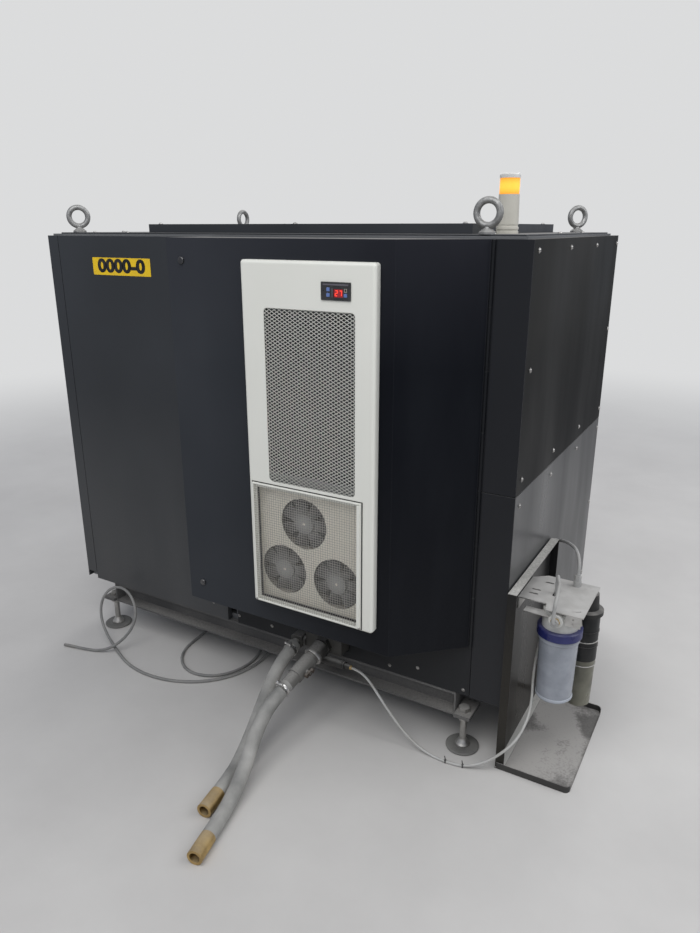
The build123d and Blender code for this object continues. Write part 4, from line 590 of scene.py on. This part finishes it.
def joined(pieces, name):
    """Several objects made one, under this name."""
    bpy.ops.object.select_all(action='DESELECT')
    for piece in pieces:
        piece.select_set(True)
    bpy.context.view_layer.objects.active = pieces[0]
    if len(pieces) > 1:
        bpy.ops.object.join()
    bpy.context.object.name = name
    return bpy.context.object


reading_up, reading_front, stroke_wide, lean = 1337.5, -188.9, 1.7, 0.1
digit_strokes = []
for digit_middle, lit in ((1253.6, "abged"), (1265.4, "abc")):
    for stroke, across, up, length, flat in (
        ("a", 0, 6, 5.6, True), ("b", 3, 3, 5.2, False), ("c", 3, -3, 5.2, False),
        ("d", 0, -6, 5.6, True), ("e", -3, -3, 5.2, False), ("g", 0, 0, 5.6, True),
    ):
        if stroke in lit:
            wide, tall = (length, stroke_wide) if flat else (stroke_wide, length)
            middle = (digit_middle + across + lean * up, reading_front, reading_up + up)
            bar = block("stroke", middle, (wide, 0.6, tall), ((1, 0, 0), (0, 1, 0), (lean, 0, 1)))
            shaped(bar, 'BEVEL', width=0.0002, segments=2)
            digit_strokes.append(bar)
dressed(joined(digit_strokes, "controller_reading"), segment_glow, "door")

# Panel screws: zinc-plated button heads with a hex socket, each on a washer, along the edges
# of the panels, the plinth, the lid, the raised top cover and the filter frame.
smooth_below = math.radians(35)


def button_head():
    """One screw head at the origin, its axis along +Z and its washer's underside at 0."""
    washer_height, head_foot, head_top, flattened = 0.0011, 0.0009, 0.0052, 0.8
    bpy.ops.mesh.primitive_cylinder_add(vertices=20, radius=0.0072, depth=washer_height,
                                        location=(0, 0, washer_height / 2))
    washer = bpy.context.object
    bpy.ops.mesh.primitive_uv_sphere_add(segments=20, ring_count=10, radius=0.0056, location=(0, 0, 0.0006))
    head = bpy.context.object
    bpy.ops.object.mode_set(mode='EDIT')
    bpy.ops.mesh.select_all(action='SELECT')
    bpy.ops.mesh.bisect(plane_co=(0, 0, head_foot), plane_no=(0, 0, -1), clear_outer=True)
    bpy.ops.mesh.select_all(action='SELECT')
    bpy.ops.mesh.bisect(plane_co=(0, 0, head_top), plane_no=(0, 0, 1), clear_outer=True, use_fill=True)
    bpy.ops.mesh.select_all(action='DESELECT')
    bpy.ops.object.mode_set(mode='OBJECT')
    for face in head.data.polygons:
        face.select = face.normal.z > 0.999 and len(face.vertices) > 6
    bpy.ops.object.mode_set(mode='EDIT')
    bpy.ops.mesh.inset(thickness=0.0009, depth=0)
    bpy.ops.mesh.extrude_region_move(TRANSFORM_OT_translate={"value": (0, 0, -0.0022)})
    bpy.ops.object.mode_set(mode='OBJECT')
    for vertex in head.data.vertices:
        vertex.co.z = head_foot + (vertex.co.z - head_foot) * flattened
    screw = joined((head, washer), "pattern_screw")
    bpy.ops.object.shade_smooth_by_angle(angle=smooth_below)
    return screw


def screw_row(name, places, facing, body="body", scale=1.0):
    """Copies of the pattern screw set on a panel, joined as one piece."""
    turn = Vector((0, 0, 1)).rotation_difference(Vector(facing)).to_matrix()
    copies = []
    for place in places:
        copy = placed(name, pattern_screw.data.copy())
        for vertex in copy.data.vertices:
            vertex.co = Vector(at(*place)) + pattern_screw.location + turn @ (vertex.co * scale)
        copies.append(copy)
    dressed(joined(copies, name), screw_zinc, body)


screw_zinc = bare_metal("screw_zinc", (0.50, 0.49, 0.47), (0.30, 0.29, 0.28), rough=(0.2, 0.38), ledges=0.3)
blackened = bare_metal("blackened_screw", (0.16, 0.16, 0.165), (0.08, 0.08, 0.085), rough=(0.2, 0.35),
                       ledges=0.2)
put_on(blackened, "door_screws")
pattern_screw = button_head()
side_face, rear_face, lid_face, cover_face = 1675, 980, 1473, 1499
to_front, to_right, to_rear, to_top = (0, -1, 0), (1, 0, 0), (0, 1, 0), (0, 0, 1)
screw_row("side_panel_upper_screws",
          [(side_face, back, up) for back in (44, 349, 660, 963) for up in (863, 1437)]
          + [(side_face, 44, 1150), (side_face, 963, 1150)], to_right)
screw_row("side_panel_lower_screws",
          [(side_face, back, 790) for back in (41, 343, 656, 963)]
          + [(side_face, 963, 498), (side_face, 963, 206), (side_face, 656, 206)], to_right)
screw_row("plinth_screws",
          [(741, 4, 217), (879, 4, 217), (1321, 4, 210), (1415, 4, 232), (1562, 4, 206)],
          to_front, scale=0.75)
screw_row("left_panel_screw", [(632, 0, 241)], to_front, scale=0.75)
screw_row("filter_frame_screws", [(977, -194, 440), (1323, -194, 440)], to_front, "door", 0.5)
screw_row("lid_screws",
          [(across, back, lid_face) for across in (180, 330, 1560) for back in (45, 935)]
          + [(45, 300, lid_face), (45, 690, lid_face), (1622, 420, lid_face), (1622, 690, lid_face)], to_top)
screw_row("top_cover_screws",
          [(across, back, cover_face) for across in (390, 920, 1450) for back in (135, 845)], to_top)
screw_row("rear_panel_screws",
          [(across, rear_face, up) for across in (70, 780, 900, 1600) for up in (230, 830, 1430)], to_rear)
bpy.data.objects.remove(pattern_screw)

# Equipment tag: a yellow vinyl strip with rounded corners, stuck high on the left panel, with
# plain black zeros in place of the number.
tag_across, tag_up = 334, 1368.5
bpy.ops.mesh.primitive_plane_add(size=1, location=(0, 0, 0))
tag = bpy.context.object
tag.name = "yellow_tag"
for vertex in tag.data.vertices:
    vertex.co = at(tag_across + vertex.co.x * 256, -0.5, tag_up + vertex.co.y * 55)
bpy.ops.object.mode_set(mode='EDIT')
bpy.ops.mesh.select_all(action='SELECT')
bpy.ops.mesh.normals_make_consistent(inside=False)
bpy.ops.object.mode_set(mode='OBJECT')
shaped(tag, 'BEVEL', affect='VERTICES', width=0.003, segments=3)
shaped(tag, 'SOLIDIFY', thickness=0.0005, offset=0)
tag_yellow = moulded("tag_vinyl", (0.93, 0.62, 0.012), (0.86, 0.56, 0.015), rough=(0.35, 0.5), shine=0.3)
dressed(tag, tag_yellow, "body")
bpy.ops.object.text_add(location=(0, 0, 0))
numbers = bpy.context.object
numbers.data.body = "0000-0"
numbers.data.size = 0.052
numbers.data.extrude = 0.0002
numbers.data.offset = 0.0026
numbers.data.align_x = 'CENTER'
numbers.data.align_y = 'CENTER'
bpy.ops.object.convert(target='MESH')
numbers = bpy.context.object
numbers.name = "tag_numbers"
for vertex in numbers.data.vertices:
    vertex.co = at(tag_across + vertex.co.x * 1420, -0.8 + vertex.co.z * 500, tag_up + vertex.co.y * 1080)
tag_ink = moulded("tag_ink", (0.008, 0.008, 0.01), (0.016, 0.016, 0.018), rough=(0.4, 0.5), ledges=0,
                  shine=0.2)
dressed(numbers, tag_ink, "body")

# Filter stand: a bent dark plate with a light, dusty top edge, a zinc-plated bracket that
# carries both filters, and a drip tray with dark stains in its dust.
stand_steel = painted_steel("stand_steel", (0.014, 0.0145, 0.016), (0.030, 0.027, 0.022), rough=(0.22, 0.4),
                            dust=(0.52, 0.51, 0.48), low=0.02, ledges=1.0, shine=0.12)
bracket_zinc = bare_metal("bracket_zinc", (0.62, 0.61, 0.59), (0.44, 0.43, 0.41), rough=(0.35, 0.55),
                          dust=(0.46, 0.45, 0.43), ledges=0.7, mottle=28)
tray_coat = painted_steel("tray_coat", (0.02, 0.02, 0.02), (0.035, 0.033, 0.03), rough=(0.5, 0.7),
                          dust=(0.39, 0.375, 0.355), low=0.05, ledges=1.0, stains=0.3)
put_on(stand_steel, "filter_stand")
put_on(bracket_zinc, "filter_bracket")
put_on(tray_coat, "drip_tray")

# Water filters: the near one has a white moulded head, a navy ring nut and a translucent
# blue-grey bowl round its cartridge; the far one a black head and an olive bowl.
head_white = moulded("head_white", (0.66, 0.66, 0.63), (0.55, 0.55, 0.52), dust=(0.45, 0.43, 0.4),
                     ledges=0.5)
ring_navy = moulded("ring_navy", (0.012, 0.016, 0.10), (0.02, 0.026, 0.14), rough=(0.2, 0.35),
                    ledges=0.12, shine=0.35)
bowl_blue = moulded("bowl_blue", (0.50, 0.53, 0.59), (0.36, 0.39, 0.44), rough=(0.1, 0.2), clear=0.3)
bowl_olive = moulded("bowl_olive", (0.22, 0.215, 0.165), (0.13, 0.127, 0.095), rough=(0.25, 0.4),
                     clear=0.2)
head_black = moulded("head_black", (0.008, 0.009, 0.01), (0.02, 0.02, 0.02), rough=(0.35, 0.5),
                     ledges=0.4, shine=0.25)
media_white = moulded("cartridge_fibre", (0.66, 0.65, 0.61), (0.55, 0.53, 0.48), rough=(0.7, 0.85))
put_on(head_white, "near_filter_head")
put_on(ring_navy, "near_filter_ring")
put_on(bowl_blue, "near_filter_sump")
put_on(media_white, "near_filter_cartridge")
put_on(head_black, "far_filter_head")
put_on(bowl_olive, "far_filter_bowl")

# Water pipework and manifold: grey tube and a cast manifold under the door with its ball
# valve and brown lever; brass where the threads show.
pipe_grey = moulded("pipe_grey", (0.42, 0.42, 0.41), (0.33, 0.33, 0.32), ledges=0.4)
# Valve body: painted shade, darker towards the cabinet under the door.
valve_cast = painted_steel("valve_cast", (0.105, 0.103, 0.096), (0.16, 0.156, 0.144),
                           dust=(0.29, 0.282, 0.265), low=0.05, ledges=0.8,
                           painted_light_bands=(("Y", -0.51, -0.47, (0.018, 0.017, 0.015)),))
manifold_cast = painted_steel("manifold_cast", (0.035, 0.034, 0.03), (0.06, 0.057, 0.05),
                              dust=(0.34, 0.33, 0.31), low=0.05, ledges=0.9)
lever_brown = moulded("lever_brown", (0.045, 0.032, 0.022), (0.07, 0.05, 0.035), rough=(0.45, 0.6))
brass = bare_metal("brass", (0.60, 0.42, 0.17), (0.42, 0.29, 0.12), rough=(0.3, 0.5), ledges=0.4)
gland_nickel = bare_metal("gland_nickel", (0.40, 0.39, 0.37), (0.28, 0.27, 0.26))
put_on(pipe_grey, "filter_pipework")
put_on(valve_cast, "water_valve")
put_on(manifold_cast, "water_manifold")
put_on(lever_brown, "valve_handle")
put_on(brass, "hose_couplings")
put_on(gland_nickel, "cable_glands")

# Laser side of the cabinet: a rack of drawer-like laser modules in clear anodised aluminium,
# the beam combiner on top and the power supplies beside it.
module_silver = bare_metal("module_silver", (0.62, 0.63, 0.64), (0.55, 0.56, 0.57), rough=(0.28, 0.4),
                           grain=(1, 1, 20), ledges=0.15)
supply_grey = painted_steel("supply_grey", (0.30, 0.31, 0.31), (0.34, 0.35, 0.35), rough=(0.4, 0.5),
                            fold_wear_and_highlight=0.1)
put_on(module_silver, "laser_modules", "beam_combiner")
put_on(supply_grey, "power_supplies")

# Small round parts on the water side: worm-drive clips on both hoses, the union's ring nut, ring
# nuts on the filter line's fitting, and two cable ties round that line on the floor.
def turned(name, start, way, profile, closed, steps, finish):
    """A piece turned about the line that leaves start along way; profile is (along, radius) in mm."""
    outline = bpy.data.meshes.new(name)
    pairs = [(number, number + 1) for number in range(len(profile) - 1)]
    if closed:
        pairs.append((len(profile) - 1, 0))
    outline.from_pydata([(radius / 1000, 0, along / 1000) for along, radius in profile], pairs, [])
    piece = placed(name, outline)
    bpy.ops.object.select_all(action='DESELECT')
    piece.select_set(True)
    bpy.context.view_layer.objects.active = piece
    shaped(piece, 'SCREW', steps=steps, render_steps=steps, use_merge_vertices=True, merge_threshold=0.00001)
    bpy.ops.object.mode_set(mode='EDIT')
    bpy.ops.mesh.select_all(action='SELECT')
    bpy.ops.mesh.remove_doubles(threshold=0.00001)
    bpy.ops.mesh.normals_make_consistent(inside=False)
    bpy.ops.object.mode_set(mode='OBJECT')
    turn = Vector((0, 0, 1)).rotation_difference(Vector(way)).to_matrix()
    for vertex in piece.data.vertices:
        vertex.co = Vector(at(*start)) + turn @ vertex.co
    bpy.ops.object.shade_smooth_by_angle(angle=smooth_below)
    dressed(piece, finish, "body")
    return piece


def rounded_block(name, middle, size, rounding, finish, body="body",
                  axes=((1, 0, 0), (0, 1, 0), (0, 0, 1))):
    """A block with rounded edges, its sides along the given three directions."""
    piece = block(name, middle, size, axes)
    shaped(piece, 'BEVEL', width=rounding / 1000, segments=2)
    bpy.ops.object.shade_smooth_by_angle(angle=smooth_below)
    dressed(piece, finish, body)


clip_steel = bare_metal("clip_steel", (0.78, 0.77, 0.75), (0.55, 0.54, 0.52), rough=(0.15, 0.3), ledges=0.12)
for name, start, onward in (
    ("clip_a", (1014.3, -76.5, 219.2), (1012, -128, 204)),
    ("clip_b", (1088.2, -229.4, 187.8), (1081.23, -286.5, 170.94)),
):
    way = (Vector(onward) - Vector(start)).normalized()
    side = way.cross(Vector((0, 0, 1))).normalized()
    top = side.cross(way)
    turned(f"{name}_band", start, way,
           [(0, 21.2), (0.2, 22.7), (1.4, 22.2), (11.6, 22.2), (12.8, 22.7), (13, 21.2)],
           True, 40, clip_steel)
    housing = Vector(start) + way * 6.5 + top * 25.5
    rounded_block(f"{name}_housing", housing, (17, 11, 8), 1.6, clip_steel, axes=(side, way, top))
    screw_start = housing + side * 8.5 + top * 0.6
    turned(f"{name}_screw", screw_start, side,
           [(0, 0), (0, 4.8), (1.2, 5.2), (5.2, 5.2), (6.6, 4.4), (6.6, 1.2), (5.2, 1.0), (5.2, 0)],
           False, 6, clip_steel)
valve_start, valve_end = Vector((1110, -52, 240)), Vector((1090, -215, 192))
valve_way = (valve_end - valve_start).normalized()
turned("union_ring_nut", valve_start + valve_way * 36, valve_way,
       [(0, 22.5), (0, 29), (2, 30.5), (12, 30.5), (14, 29), (14, 22.5)], True, 8, zinc)
# The line nuts take the valve's finish and lie deep in its painted shade.
for name, along in (("line_nut_inner", 52), ("line_nut_outer", 61)):
    turned(name, (1128 + along, -52, 200), (1, 0, 0),
           [(0, 9), (0, 12.5), (1.5, 13.6), (5, 13.6), (6.5, 12.5), (6.5, 9)], True, 24, valve_cast)
turned("line_nipple", (1212, -52, 200), (1, 0, 0), [(0, 4.2), (0, 7.4), (6, 6.6), (9, 5.2), (9, 4.2)],
       True, 16, brass)
tie_black = moulded("tie_black", (0.02, 0.02, 0.02), (0.05, 0.05, 0.048), rough=(0.4, 0.55))
tail_back, tail_up = Vector((0, 0.9, 0.35)).normalized(), Vector((0, -0.35, 0.9)).normalized()
for name, (across, back, up), way in (
    ("tie_left", (1546, -75, 4.5), Vector((1, 0.05, 0))),
    ("tie_right", (1597, -68.5, 4.6), Vector((1, 0.14, 0.02))),
):
    turned(f"{name}_loop", (across, back, up), way.normalized(),
           [(0, 3.9), (0, 4.35), (3.6, 4.35), (3.6, 3.9)], True, 20, tie_black)
    rounded_block(f"{name}_head", (across + 1.8, back - 1, up + 7), (5, 6, 4.5), 0.8, tie_black)
    rounded_block(f"{name}_tail", (across + 1.8, back - 4, up + 16), (3.2, 1.2, 22), 0.4, tie_black,
                  axes=((1, 0, 0), tail_back, tail_up))

# Trim on the water filters: a shoulder and a foot rim on the near bowl, light rings on the far
# one, a brass nut on the open port, and two more zinc plates under and before the bracket.
rim_clear = moulded("rim_clear", (0.56, 0.6, 0.66), (0.46, 0.5, 0.56), rough=(0.12, 0.25), clear=0.2)
near_filter, far_filter = (1797, 105), (1845, 210)
turned("sump_shoulder", (*near_filter, 398), to_top,
       [(0, 54), (3, 57.6), (12, 58), (15, 56.6), (16.5, 54)], True, 48, bowl_blue)
turned("sump_foot_rim", (*near_filter, 213.5), to_top,
       [(2.5, 40), (0, 43), (1, 48), (5, 51.8), (9, 52.4), (12, 51.2), (14, 49)], True, 48, rim_clear)
for name, up in (("far_ring_upper", 360), ("far_ring_lower", 282)):
    turned(name, (*far_filter, up), to_top,
           [(0, 38.6), (0.6, 40.2), (2.6, 40.2), (3.2, 38.6)], True, 40, bracket_zinc)
turned("port_nut", (1797, 45, 481), to_front,
       [(0, 6), (0, 12.2), (2, 13.4), (8, 13.4), (10, 12.2), (10, 6)], True, 6, brass)
rounded_block("bracket_lower_plate", (1741, 66, 484), (72, 30, 3), 0.8, bracket_zinc)
rounded_block("bracket_front_tab", (1841, 70, 487), (36, 3, 46), 0.8, bracket_zinc,
              axes=(Vector((0.94, 0.3, 0.16)).normalized(), Vector((-0.28, 0.96, 0)).normalized(),
                    Vector((-0.15, -0.05, 0.98)).normalized()))

# Marks on the controller and the intake: a lit red window behind the digits, a lighter band and a
# small outlined key on the bezel, and a dark strip of painted shadow in the gap round the filter frame.
window_red = moulded("window_red", (0.16, 0.01, 0.015), (0.12, 0.01, 0.015), rough=(0.15, 0.25),
                     glow=(0.5, 0.02, 0.03), ledges=0)
bezel_grey = moulded("bezel_grey", (0.13, 0.12, 0.145), (0.10, 0.095, 0.11), rough=(0.3, 0.4), ledges=0.1)
key_ink = moulded("key_ink", (0.45, 0.42, 0.36), (0.40, 0.38, 0.32), rough=(0.4, 0.5), ledges=0)
gap_shadow_black = moulded("gap_shadow_black", (0.02, 0.02, 0.02), (0.035, 0.035, 0.035), rough=(0.5, 0.7),
                       shine=0.3)
rounded_block("display_window", (1259.5, -188.35, 1337.5), (26.6, 0.3, 19.6), 0.1, window_red,
              "door")
rounded_block("bezel_band", (1252, -190.3, 1357.5), (72, 0.8, 3.6), 0.3, bezel_grey, "door")
rounded_block("bezel_divider", (1242.5, -190.2, 1338), (2.6, 0.6, 22), 0.25, bezel_grey,
              "door")
outlined_key = frame_strip("outlined_key", (1276.5, 1284, 1340.5, 1349), 1.1, -190.2, 0.5)
dressed(outlined_key, key_ink, "door")
# A dark strip round the filter frame: painted shadow in the gap between the frame and the cover.
filter_gap_shadow = frame_strip("filter_gap_shadow", (971.2, 1328.8, 434.4, 809.6), 2.9, -187.4, 1.0)
dressed(filter_gap_shadow, gap_shadow_black, "door")

# Plug on the left cable: the round connector that the loose cable ends in, in dull nickel,
# lying on the floor.
cable_end = Vector((104, -194, cable_rest))
plug_way = (cable_end - Vector((158, -184, cable_rest))).normalized()
plug = turned("cable_plug", cable_end, plug_way,
              [(-14, 5.02), (-14, 5.3), (19, 5.4), (20, 5.1), (22, 5.1), (22, 5.45), (37, 5.45),
               (38, 5.1), (38, 4.3), (32, 4.1), (32, 0)], False, 28, gland_nickel)
